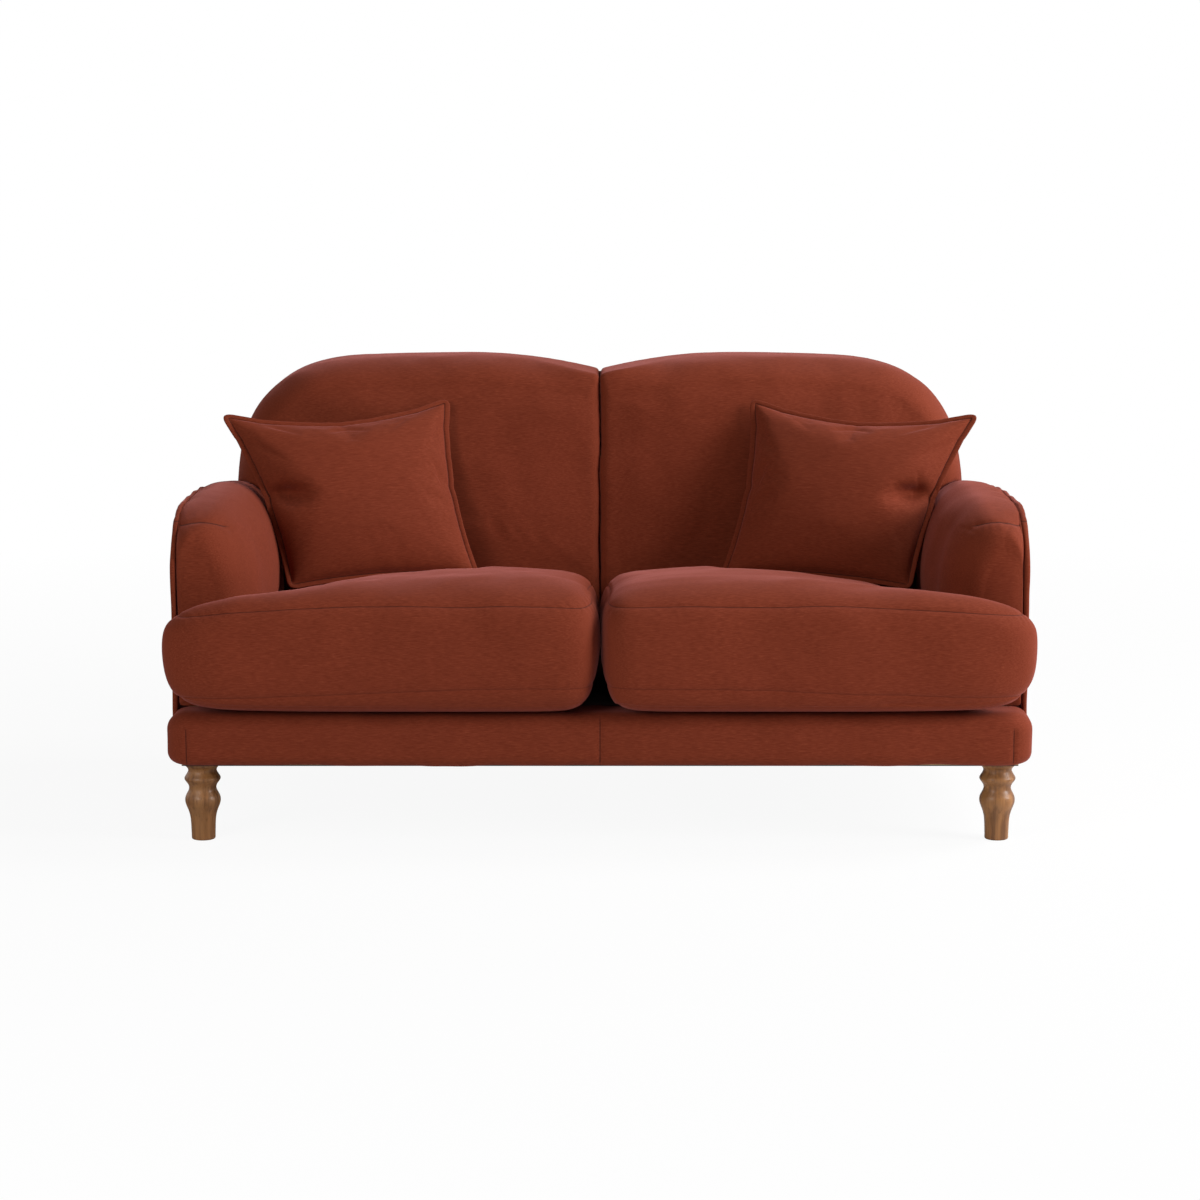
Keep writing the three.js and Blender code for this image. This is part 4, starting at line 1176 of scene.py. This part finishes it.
def board_outline():
    """The whole outside back seen from behind: arched top, notches over the arms, sides and foot."""
    low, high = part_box("outside_back_panel")
    arm_top = ARM_HIGH.z - REAR_FALL

    def further(start, end, steps):
        """Even values after the start, up to the end."""
        return list(np.linspace(start, end, BOARD_STEPS[steps] + 1)[1:])

    line = [(x, back_top(x, BOARD_LOWER) - BOARD_SEAM_LOWER)
            for x in np.linspace(0, SEAM_RUN, BOARD_STEPS["arch"] + 1)]
    xs = further(SEAM_RUN, BACK_HALF - BACK_SHOULDER_WIDE, "top")
    xs += shoulder_places(BOARD_LOWER, BOARD_STEPS["shoulder"])
    shoulder = [(x, back_top(x, BOARD_LOWER)) for x in xs]
    line += [(x, z) for x, z in shoulder if z > arm_top + BOARD_NOTCH]
    end = line[-1]
    notch = (BACK_HALF - BOARD_LOWER, arm_top)
    wing = (BACK_HALF + BOARD_NOTCH, arm_top - BOARD_NOTCH * BOARD_NOTCH_DROP_SHARE)
    line += [curve_point(end, notch, wing, share) for share in further(0, 1, "notch")]
    side, corner_low = high.x, arm_top - BOARD_ARM_DROP
    start_x, start_z = line[-1]
    line += [(start_x + (side - start_x) * math.sin(a), corner_low + (start_z - corner_low) * math.cos(a))
             for a in quarter(BOARD_STEPS["corner"])[1:]]
    line += [(side, z) for z in further(corner_low, low.z, "side")]
    line += [(x, low.z) for x in further(side, 0, "foot")]
    return line + [(-x, z) for x, z in reversed(line[1:-1])]


def rear_board():
    """A thin leaning board: its outline in rings from face to face."""
    outline = np.array(board_outline())
    hub = np.array((0.0, BOARD_HUB))
    away = np.linalg.norm(outline - hub, axis=1)[:, None]
    rings = []
    for through, inset in BOARD_EDGE:
        flat = hub + (outline - hub) * (1 - inset / away)
        rings.append([(x, through, z) for x, z in flat])
    faces = [drawn_rings(ring, BOARD_SHARES, (0.0, ring[0][1], BOARD_HUB)) for ring in (rings[0], rings[-1])]
    rings = faces[0][::-1] + rings + faces[1]
    return lofted("outside_back", [[(x, rear_plane(z) + y, z) for x, y, z in ring] for ring in rings])


def outside_back():
    piece = rear_board()
    softened(piece, BOARD_SEED, high=0.0012, length=0.3)
    spots = places(piece)
    seam = spots[:, 0]
    sewn(piece, seam, spots[:, 2], BOARD_SEED + 5, deep=0.0016, pucker=0.0005, pitch=0.03, broad=0.002)
    cloth_values(piece, seam)
    return dressed(piece, rust, "root", ("outside_back_panel",))


# Front border

# The roundings of the roll, its end seams and the room for the rail and the deck
BORDER_SEED = 310
BORDER_CORNER = 0.045
BORDER_LEAST_CORNER = 0.004
BORDER_STEPS = {"front": 23, "corner": 10, "side": 6, "round": 8}
BORDER_TOP_ROUND = 0.038
BORDER_TOP_HIGH = 0.034
BORDER_LOW_ROUND = 0.022
BORDER_END_SEAM = 0.7597
BORDER_SEAM_LEVEL = (0.222, 0.212)
BORDER_FRONT = (0.3, 0.8)
BORDER_VOXEL = 0.0038
RAIL_ROOM = 0.001
RAIL_ROOM_UNDER = 0.05
DECK_ROOM = 0.0005
BORDER_LOW, BORDER_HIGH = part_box("front_border")


def border_ring(inset, z):
    """The border's plan at a height: straight in front, round at both corners."""
    low, high = BORDER_LOW, BORDER_HIGH
    half, front = high.x - inset, low.y + inset
    corner = max(BORDER_CORNER - inset, BORDER_LEAST_CORNER)
    plan = [(x, front) for x in np.linspace(0, half - corner, BORDER_STEPS["front"] + 1)[:-1]]
    plan += [(half - corner + corner * math.sin(a), front + corner - corner * math.cos(a))
             for a in quarter(BORDER_STEPS["corner"])]
    steps = BORDER_STEPS["side"]
    plan += [(half, front + corner + (high.y - front - corner) * k / steps) for k in range(1, steps + 1)]
    return [(-x, y, z) for x, y in reversed(plan)] + [(x, y, z) for x, y in plan[1:]]


def front_border():
    low, high = BORDER_LOW, BORDER_HIGH
    rings = [border_ring(BORDER_LOW_ROUND * (1 - math.sin(a)), low.z + BORDER_LOW_ROUND * (1 - math.cos(a)))
             for a in quarter(BORDER_STEPS["round"])]
    rings += [border_ring(BORDER_TOP_ROUND * (1 - math.cos(a)), high.z - BORDER_TOP_HIGH * (1 - math.sin(a)))
              for a in quarter(BORDER_STEPS["round"])]
    piece = lofted("front_border_roll", rings)
    rail_low, rail_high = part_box("front_rail")
    room_low = (rail_low.x - RAIL_ROOM, rail_low.y - RAIL_ROOM, rail_low.z - RAIL_ROOM_UNDER)
    room_high = (rail_high.x + RAIL_ROOM, 1.0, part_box("seat_deck")[0].z - DECK_ROOM)
    carved(piece, block("rail_room", room_low, room_high))
    remeshed(piece, BORDER_VOXEL, smooth_turns=3)
    spots = places(piece)
    front = smooth_step(-facings(piece)[:, 1], *BORDER_FRONT)
    level = smooth_step(spots[:, 2], *BORDER_SEAM_LEVEL)
    across = np.abs(spots[:, 0])
    at_end = across > BORDER_END_SEAM / 2
    seam = np.where(at_end, (across - BORDER_END_SEAM) * np.sign(spots[:, 0]), -spots[:, 0])
    seam_groove_and_shade = np.where(at_end, level, 1.0) * front
    softened(piece, BORDER_SEED, high=0.0009, length=0.16)
    sewn(piece, seam, spots[:, 2], BORDER_SEED + 2, deep=0.0018, pucker=0.0004, pitch=0.02, broad=0.0012,
         where=seam_groove_and_shade)
    cloth_values(piece, seam, seam_groove_and_shade)
    return dressed(piece, rust, "root", ("front_border",))


# Scatter cushions

# The right cushion's corners, its fullness, and how its edges draw in and its folds fade
SCATTER_CORNERS = {
    "top_outer": (0.737, 0.108, 0.741),
    "top_inner": (0.313, 0.214, 0.761),
    "low_inner": (0.250, 0.060, 0.440),
    "low_outer": (0.600, -0.040, 0.429),
}
SCATTER_THICK = 0.128
SCATTER_CELLS = 84
SCATTER_HALF = 0.205
START_SWELL = 0.012
SIDE_DRAWN = 0.095
TOP_DRAWN = 0.190
LOW_DRAWN = 0.060
EDGE_DRAWN_RUN = (-0.3, 0.3)
CREASED = 0.5
RIM_CREASED = 0.15
RIM_CREASED_WIDE = 0.05
FOOT_CREASED_SHARE = 0.25
FOOT_CREASED_RUN = (-0.15, 0.0)
AXIS_PAIRS = ((0, 1), (1, 0))
AT_EDGE = 0.999 * SCATTER_HALF


def edge_draw(axis, share):
    """How far the cushion's edges draw in at their middles, as a share of its half width."""
    if axis == 0:
        return SIDE_DRAWN
    return LOW_DRAWN + (TOP_DRAWN - LOW_DRAWN) * smooth_step(share[:, 1], *EDGE_DRAWN_RUN)


def flat_case():
    """Two square sheets of cells that share their rim: points, faces and the rim's numbers."""
    n = SCATTER_CELLS
    line = np.linspace(-1, 1, n + 1)
    points = []
    number = {}
    for side in (1, -1):
        for j in range(n + 1):
            for i in range(n + 1):
                rim = i in (0, n) or j in (0, n)
                if side < 0 and rim:
                    number[side, i, j] = number[1, i, j]
                    continue
                number[side, i, j] = len(points)
                x, y = line[i], line[j]
                swell = 0.0 if rim else side * START_SWELL * (1 - x ** 2) ** 0.5 * (1 - y ** 2) ** 0.5
                points.append((x * SCATTER_HALF, y * SCATTER_HALF, swell))
    faces = []
    for side in (1, -1):
        for j in range(n):
            for i in range(n):
                loop = [number[side, a, b] for a, b in ((i, j), (i + 1, j), (i + 1, j + 1), (i, j + 1))]
                faces.append(loop if side > 0 else loop[::-1])
    rim = [number[1, i, 0] for i in range(n)] + [number[1, n, j] for j in range(n)]
    rim += [number[1, i, n] for i in range(n, 0, -1)] + [number[1, 0, j] for j in range(n, 0, -1)]
    return points, faces, rim


def scatter_pillow():
    """The filled case in its own plane, between blown up and smooth: points, faces, rim and flat places."""
    points, faces, rim = flat_case()
    piece = new_piece("scatter_case", points, faces)
    flat = places(piece)
    smooth = flat.copy()
    share = smooth / SCATTER_HALF
    full = np.clip((1 - share[:, 0] ** 2) * (1 - share[:, 1] ** 2), 0, 1) ** 0.5
    smooth[:, 2] = np.sign(smooth[:, 2]) * full
    for axis, other in AXIS_PAIRS:
        smooth[:, axis] *= 1 - edge_draw(axis, share) * (1 - share[:, other] ** 2)
    spots = smooth
    blown(piece)
    spots = to_corners(places(piece), flat, rim)
    for form in (smooth, spots):
        form[:, 2] *= SCATTER_THICK / np.ptp(form[:, 2])
    removed(piece)
    from_rim = SCATTER_HALF - np.abs(flat[:, :2]).max(1)
    creased = RIM_CREASED + (CREASED - RIM_CREASED) * smooth_step(from_rim, 0.0, RIM_CREASED_WIDE)
    creased *= FOOT_CREASED_SHARE + (1 - FOOT_CREASED_SHARE) * smooth_step(flat[:, 1], *FOOT_CREASED_RUN)
    return smooth + (spots - smooth) * creased[:, None], faces, rim, flat


def to_corners(spots, flat, rim):
    """Stretches the blown case so that its corners are back in place and its edges draw in as they should."""
    corner = np.abs(flat[rim][:, :2]).min(1) > AT_EDGE
    spots = spots - spots.mean(0)
    for axis, _ in AXIS_PAIRS:
        spots[:, axis] *= SCATTER_HALF / np.abs(spots[rim][corner][:, axis]).mean()
    for axis, other in AXIS_PAIRS:
        side = np.abs(flat[rim][:, axis]) > AT_EDGE
        across = spots[rim][side][:, other] / SCATTER_HALF
        reach = np.abs(spots[rim][side][:, axis]) / SCATTER_HALF
        line = np.polyfit(across ** 2, reach, 2)
        share = np.clip((spots[:, other] / SCATTER_HALF) ** 2, 0, 1)
        wanted = 1 - edge_draw(axis, spots / SCATTER_HALF) * (1 - share)
        spots[:, axis] *= wanted / np.polyval(line, share)
    return spots


# The filling, simulated as inner pressure
BLOWN_PRESSURE = 6.0
BLOWN_FRAMES = 26
BLOWN_CAP = 0.11
CLOTH_MASS = 0.25
CLOTH_STIFF = 12.0
CLOTH_BEND = 0.6
CLOTH_QUALITY = 6


def blown(piece):
    """Cloth pressed out from inside, with no point moving further than the cap."""
    start = places(piece)
    cloth = piece.modifiers.new("fill", "CLOTH")
    settings = cloth.settings
    settings.quality = CLOTH_QUALITY
    settings.mass = CLOTH_MASS
    settings.use_pressure = True
    settings.uniform_pressure_force = BLOWN_PRESSURE
    settings.tension_stiffness = CLOTH_STIFF
    settings.compression_stiffness = CLOTH_STIFF
    settings.shear_stiffness = CLOTH_STIFF / 2
    settings.bending_stiffness = CLOTH_BEND
    settings.effector_weights.gravity = 0
    cloth.collision_settings.use_collision = False
    cloth.collision_settings.use_self_collision = False
    cloth.point_cache.frame_start = 1
    cloth.point_cache.frame_end = BLOWN_FRAMES
    scene = bpy.context.scene
    for number in range(1, BLOWN_FRAMES + 1):
        scene.frame_set(number)
    applied(piece)
    scene.frame_set(1)
    step = places(piece) - start
    length = np.linalg.norm(step, axis=1)
    share = BLOWN_CAP / np.maximum(length, BLOWN_CAP)
    move_to(piece, start + step * share[:, None])


def on_seat(local):
    """Puts points of the flat cushion's own plane on the leaning place of the right cushion."""
    corner = {name: np.array(place) for name, place in SCATTER_CORNERS.items()}
    s = (local[:, 0] / SCATTER_HALF + 1) / 2
    t = (local[:, 1] / SCATTER_HALF + 1) / 2
    low = corner["low_outer"] + (corner["low_inner"] - corner["low_outer"]) * s[:, None]
    high = corner["top_outer"] + (corner["top_inner"] - corner["top_outer"]) * s[:, None]
    way = np.cross(corner["top_inner"] - corner["low_outer"], corner["top_outer"] - corner["low_inner"])
    way /= np.linalg.norm(way)
    way *= -np.sign(way[1])
    return low + (high - low) * t[:, None] + way * local[:, 2:3]


# The flat edge, as (reach, half thickness as a share) places, and where it is stitched
FLANGE_THICK = 0.0036
FLANGE_EDGE = ((0.0015, 0.42), (0.004, 0.5), (0.0075, 0.5), (0.0102, 0.42))
FLANGE_TIP = 0.011
FLANGE_STITCH = 0.0015
RIM_SPLIT_SHARE = 0.2


def with_flange(spots, faces, rim, flat):
    """The pillow with a flat edge round its rim: points, faces, flat places and gap to the stitching."""
    ring = spots[rim]
    around = np.roll(ring, -1, axis=0) - np.roll(ring, 1, axis=0)
    for _ in range(3):
        around = (np.roll(around, 1, axis=0) + around * 2 + np.roll(around, -1, axis=0)) / 4
    out = np.column_stack((around[:, 1], -around[:, 0], np.zeros(len(rim))))
    out /= np.linalg.norm(out, axis=1)[:, None]
    points = [*spots]
    cloth = [*flat]
    length = len(rim)

    def row(reach, height):
        """A ring of points beyond the rim, and the number of its first one."""
        points.extend(ring + out * reach + np.array((0, 0, height * FLANGE_THICK)))
        cloth.extend(flat[rim] + out * reach)
        return len(points) - length

    top = [row(reach, thick) for reach, thick in FLANGE_EDGE]
    tip = row(FLANGE_TIP, 0.0)
    low = [row(reach, -thick) for reach, thick in FLANGE_EDGE]
    split = row(0.0, -RIM_SPLIT_SHARE)
    under = {vertex: split + k for k, vertex in enumerate(rim)}
    half = len(faces) // 2
    joined = [tuple(face) for face in faces[:half]]
    joined += [tuple(under.get(v, v) for v in face) for face in faces[half:]]
    for k in range(length):
        step = (k + 1) % length
        upper = [(rim[k], rim[step])] + [(first + k, first + step) for first in (*top, tip)]
        lower = [(first + k, first + step) for first in (split, *low, tip)]
        joined += [(a, c, d, b) for (a, b), (c, d) in zip(upper[:-1], upper[1:])]
        joined += [(a, b, d, c) for (a, b), (c, d) in zip(lower[:-1], lower[1:])]
    # The gap to the stitching sets the painted seam shade: darkest along the rim where the flange meets the
    # pillow, and barely any on the flange
    gap = np.full(len(points), OUT_OF_REACH)
    gap[len(spots):] = FLANGE_STITCH
    gap[rim] = 0.0
    gap[split:] = 0.0
    return np.array(points), joined, np.array(cloth), gap


PUSH_REACH = 0.12


def pushed_out(piece, others, gap):
    """Moves what lies inside another piece, or nearer than the gap, out of it."""
    for other in others:
        tree = BVHTree.FromPolygons([v.co[:] for v in other.data.vertices],
                                    [p.vertices[:] for p in other.data.polygons])
        spots = places(piece)
        for k, spot in enumerate(spots):
            found, way, _, _ = tree.find_nearest(Vector(spot), PUSH_REACH)
            if found is None:
                continue
            depth = (Vector(spot) - found).dot(way)
            if depth < gap:
                spots[k] = found + way * gap
        move_to(piece, spots)


# The hollow beside the arm
CUSHION_GAP = 0.001
ARM_PRESS = (0.610, 0.598)
ARM_PRESS_REACH = (0.038, 0.018)
ARM_PRESS_DEEP = 0.030
CUSHION_FRONT = (0.0, 0.4)


def scatter_cushion(case, side, neighbours):
    """A filled cushion on its place, clear of its neighbours, with the hollow where the arm presses it."""
    local, joined, cloth, stitch_gap = with_flange(*case)
    form = outward(new_piece("scatter_form", on_seat(local), joined))
    piece = side_piece(form, "scatter_cushion", side)
    removed(form)
    pushed_out(piece, neighbours, CUSHION_GAP)
    spots = places(piece)
    front = smooth_step(-facings(piece)[:, 1], *CUSHION_FRONT)
    (press_x, press_z), (reach_x, reach_z) = ARM_PRESS, ARM_PRESS_REACH
    reach = np.hypot((np.abs(spots[:, 0]) - press_x) / reach_x, (spots[:, 2] - press_z) / reach_z)
    spots[:, 1] += ARM_PRESS_DEEP * bell(reach, 1) * front
    move_to(piece, spots)
    cloth_values(piece, stitch_gap, None, cloth)
    shaped(piece, "SUBSURF", levels=1, render_levels=1)
    names = (f"scatter_cover_{side}", f"scatter_pad_{side}", f"scatter_zip_{side}")
    return dressed(piece, rust, f"scatter_cushion_{side}", names)


# Legs

LEG_PROFILE_SHARES = (
    (0.60, 0.0), (0.655, 0.012), (0.662, 0.06), (0.672, 0.13), (0.685, 0.21), (0.715, 0.29), (0.79, 0.365),
    (0.90, 0.43), (0.965, 0.475), (0.985, 0.515), (0.955, 0.56), (0.86, 0.605), (0.775, 0.645), (0.755, 0.68),
    (0.80, 0.715), (0.905, 0.75), (0.985, 0.778), (1.0, 0.795), (0.975, 0.815), (0.88, 0.85), (0.80, 0.885),
    (0.79, 0.905), (0.83, 0.93), (0.93, 0.955), (1.0, 0.97), (1.0, 1.0),
)
LEG_TURNS = 64
LEG_STEPS = 3
LEG_EDGE = math.radians(50)


def curve_through(stations, steps):
    """A smooth line through two-number stations."""
    line = [stations[0]] + list(stations) + [stations[-1]]
    result = []
    for k in range(1, len(line) - 2):
        before, start, end, after = (np.array(line[k + d]) for d in (-1, 0, 1, 2))
        linear = end - before
        square = 2 * before - 5 * start + 4 * end - after
        cubic = 3 * start - before - 3 * end + after
        for step in range(steps):
            t = step / steps
            result.append(0.5 * (2 * start + linear * t + square * t ** 2 + cubic * t ** 3))
    return result + [np.array(stations[-1])]


def front_leg(side):
    low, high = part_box(f"front_leg_{side}")
    centre = (low + high) / 2
    radius = (high.y - low.y) / 2
    turns = [(math.cos(a), math.sin(a)) for a in np.linspace(0, 2 * math.pi, LEG_TURNS, endpoint=False)]
    rings = []
    for share, level in curve_through(LEG_PROFILE_SHARES, LEG_STEPS):
        z = low.z + (high.z - low.z) * level
        rings.append([(centre.x + radius * share * x, centre.y + radius * share * y, z) for x, y in turns])
    piece = lofted(f"turned_leg_{side}", rings)
    dressed(piece, oak, "root", (f"front_leg_{side}",))
    piece.data.set_sharp_from_angle(angle=LEG_EDGE)
    return piece


# Hidden frame pieces, kept from the solids with a rounded edge and their own finish

KEPT_NODES = {
    beech_x: ("front_rail", "rear_rail", "back_top_rail", "back_low_rail_left", "back_low_rail_right",
              "front_corner_block_left", "front_corner_block_right", "rear_corner_block_left",
              "rear_corner_block_right"),
    beech_y: ("side_rail_left", "side_rail_right", "center_bearer"),
    beech_z: ("back_post_left", "back_post_right", "back_post_center"),
    oak: ("rear_leg_left", "rear_leg_right"),
    ply: ("arm_board_left", "arm_board_right"),
    zinc: ("front_leg_bolt_left", "front_leg_bolt_right", "rear_leg_bolt_left", "rear_leg_bolt_right"),
    bronze: ("seat_zip_slider_left", "seat_zip_slider_right"),
}
EDGE_ROUND = 0.002
OTHER_EDGE_ROUNDS = {oak: 0.0015, zinc: 0.0003, bronze: 0.0005}
STRAP_ROUND = 0.0009
EDGE_SETTINGS = {"segments": 2, "limit_method": "ANGLE", "angle_limit": math.radians(40)}


def dress_kept_nodes():
    for material, names in KEPT_NODES.items():
        for name in names:
            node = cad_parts[name]
            node.data.materials.clear()
            node.data.materials.append(material)
            round_edge = node.modifiers.new("edge", "BEVEL")
            round_edge.width = OTHER_EDGE_ROUNDS.get(material, EDGE_ROUND)
            for key, value in EDGE_SETTINGS.items():
                setattr(round_edge, key, value)


# Webbing, platform, dust cover and zips

DECK_VOXEL = 0.006
SHEET_CELLS = (60, 34)
TAPE_DEEP = 0.004
TAPE_SET = 0.0012
TOOTH_PITCH = 0.0022
TOOTH_HALF_WIDE = 0.0007
TOOTH_HALF_HIGH = 0.0018
TOOTH_STAGGER = 0.0007
TOOTH_INSET = 0.0001


def strap(node):
    """A flat woven strap in the place of its solid, with rounded edges."""
    piece = linked_copy(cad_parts[node], f"{node}_strap")
    shaped(piece, "BEVEL", width=STRAP_ROUND, **EDGE_SETTINGS)
    return dressed(piece, strap_weave, "root", (node,))


def platform_pad():
    """The cloth-covered deck under the seat cushions."""
    piece = linked_copy(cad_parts["seat_deck"], "platform_pad")
    remeshed(piece, DECK_VOXEL, smooth_turns=2)
    return dressed(piece, platform_cloth, "root", ("seat_deck",))


def dust_cover():
    """The thin cloth under the base, in cells, with both of its faces."""
    low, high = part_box("dust_cover")
    columns, rows = SHEET_CELLS
    points = [(x, y, z) for z in (high.z, low.z) for y in np.linspace(low.y, high.y, rows + 1)
              for x in np.linspace(low.x, high.x, columns + 1)]
    wide = columns + 1
    size = (rows + 1) * wide
    faces = []
    for j in range(rows):
        for i in range(columns):
            first = j * wide + i
            loop = (first, first + 1, first + wide + 1, first + wide)
            faces.append(loop)
            faces.append(tuple(size + v for v in reversed(loop)))
    rim = list(range(columns)) + [j * wide + columns for j in range(rows)]
    rim += [rows * wide + i for i in range(columns, 0, -1)] + [j * wide for j in range(rows, 0, -1)]
    for k, vertex in enumerate(rim):
        other = rim[(k + 1) % len(rim)]
        faces.append((vertex, size + vertex, size + other, other))
    piece = outward(new_piece("dust_cloth_panel", points, faces))
    dressed(piece, dust_cloth, "root", ("dust_cover",))


def seat_zip(side):
    """A closed zip: woven tape under a row of teeth that lie high and low in turn."""
    low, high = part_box(f"seat_zip_{side}")
    tape_face = high.y - TAPE_SET
    slabs = [((low.x, high.y - TAPE_DEEP, low.z), (high.x, tape_face, high.z))]
    for k in range(int((high.x - low.x) / TOOTH_PITCH)):
        x = low.x + (k + 0.5) * TOOTH_PITCH
        z = (low.z + high.z) / 2 + (TOOTH_STAGGER if k % 2 else -TOOTH_STAGGER)
        slabs.append(((x - TOOTH_HALF_WIDE, tape_face, z - TOOTH_HALF_HIGH),
                      (x + TOOTH_HALF_WIDE, high.y - TOOTH_INSET, z + TOOTH_HALF_HIGH)))
    points = []
    faces = []
    for slab_low, slab_high in slabs:
        faces += [tuple(len(points) + v for v in loop) for loop in BOX_FACES]
        points += box_points(slab_low, slab_high)
    piece = new_piece(f"zip_{side}", points, faces)
    return dressed(piece, zip_weave, f"seat_cushion_{side}", (f"seat_zip_{side}",))


# Assembly

dress_kept_nodes()
front_border()
outside_back()
seat_base = seat_shape()
arm_base = arm_shape()
panel_base = panel_shape()
back_base = back_shape()
case = scatter_pillow()
for side in SIDES:
    front_leg(side)
    seat = seat_cushion(seat_base, side)
    arm_piece = arm(arm_base, side)
    outside_arm(panel_base, side)
    back_piece = back_half(back_base, side)
    scatter_cushion(case, side, (seat, arm_piece, back_piece))
    seat_zip(side)
for base in (seat_base, arm_base, panel_base, back_base):
    removed(base)
platform_pad()
for number in range(1, 7):
    strap(f"seat_webbing_{number}")
for number in range(1, 4):
    strap(f"back_webbing_{number}")
dust_cover()


# Stage, light and air

FLOOR_REACH = 30
FLOOR_COLOUR = (0.9, 0.9, 0.9, 1)
FLOOR_GLOW = 0.93
FLOOR_GLOW_RUN = (1.2, 4.0)
WHITE = (1, 1, 1, 1)
AIR_FILL = 0.05
LAMP_TARGET = (0, 0, 0.45)
LAMP_WIDE = 1.8
LAMPS = {
    "side": ((4.415, -1.607, 2.16), 185),
    "high_side": ((3.482, 0.614, 3.986), 145),
    "front_left": ((-2.695, -3.849, 2.16), 74),
}


def add_stage():
    """A pale floor that the camera sees as almost white near the settee and as white further off."""
    corners = [(x * FLOOR_REACH, y * FLOOR_REACH, 0) for x, y in ((-1, -1), (1, -1), (1, 1), (-1, 1))]
    floor = new_piece("floor", corners, [(0, 1, 2, 3)])
    material = bpy.data.materials.new("pale_floor")
    paint = Paint(material)
    away = paint.value("VectorMath", {"operation": "LENGTH"}, {0: paint.spot()}, "Value")
    seen = paint.ray("Camera") * paint.ranged(away, *FLOOR_GLOW_RUN, FLOOR_GLOW, 1.0, "LINEAR")
    matt = paint.value("BsdfDiffuse", {}, {"Color": FLOOR_COLOUR})
    glow = paint.value("Emission", {}, {"Color": WHITE})
    paint.closed("OutputMaterial", seen, matt, glow)
    floor.data.materials.append(material)


def add_air():
    """A faint fill, and white for the camera and in reflections."""
    world = bpy.data.worlds.new("studio")
    bpy.context.scene.world = world
    paint = Paint(world)
    seen = paint.math("MAXIMUM", paint.ray("Camera"), paint.ray("Glossy"))
    seen = paint.math("MAXIMUM", seen, paint.ray("Transmission"))
    fill = paint.value("Background", {}, {"Strength": AIR_FILL})
    white = paint.value("Background", {}, {"Strength": 1.0, "Color": WHITE})
    paint.closed("OutputWorld", seen, fill, white)


def add_lamps():
    for name, (place, power) in LAMPS.items():
        data = bpy.data.lights.new(name, "AREA")
        data.size = LAMP_WIDE
        data.energy = power
        lamp = bpy.data.objects.new(name, data)
        lamp.location = place
        lamp.rotation_euler = (Vector(LAMP_TARGET) - Vector(place)).to_track_quat("-Z", "Y").to_euler()
        bpy.context.scene.collection.objects.link(lamp)


add_stage()
add_air()
add_lamps()

bpy.context.scene.view_settings.view_transform = "Standard"
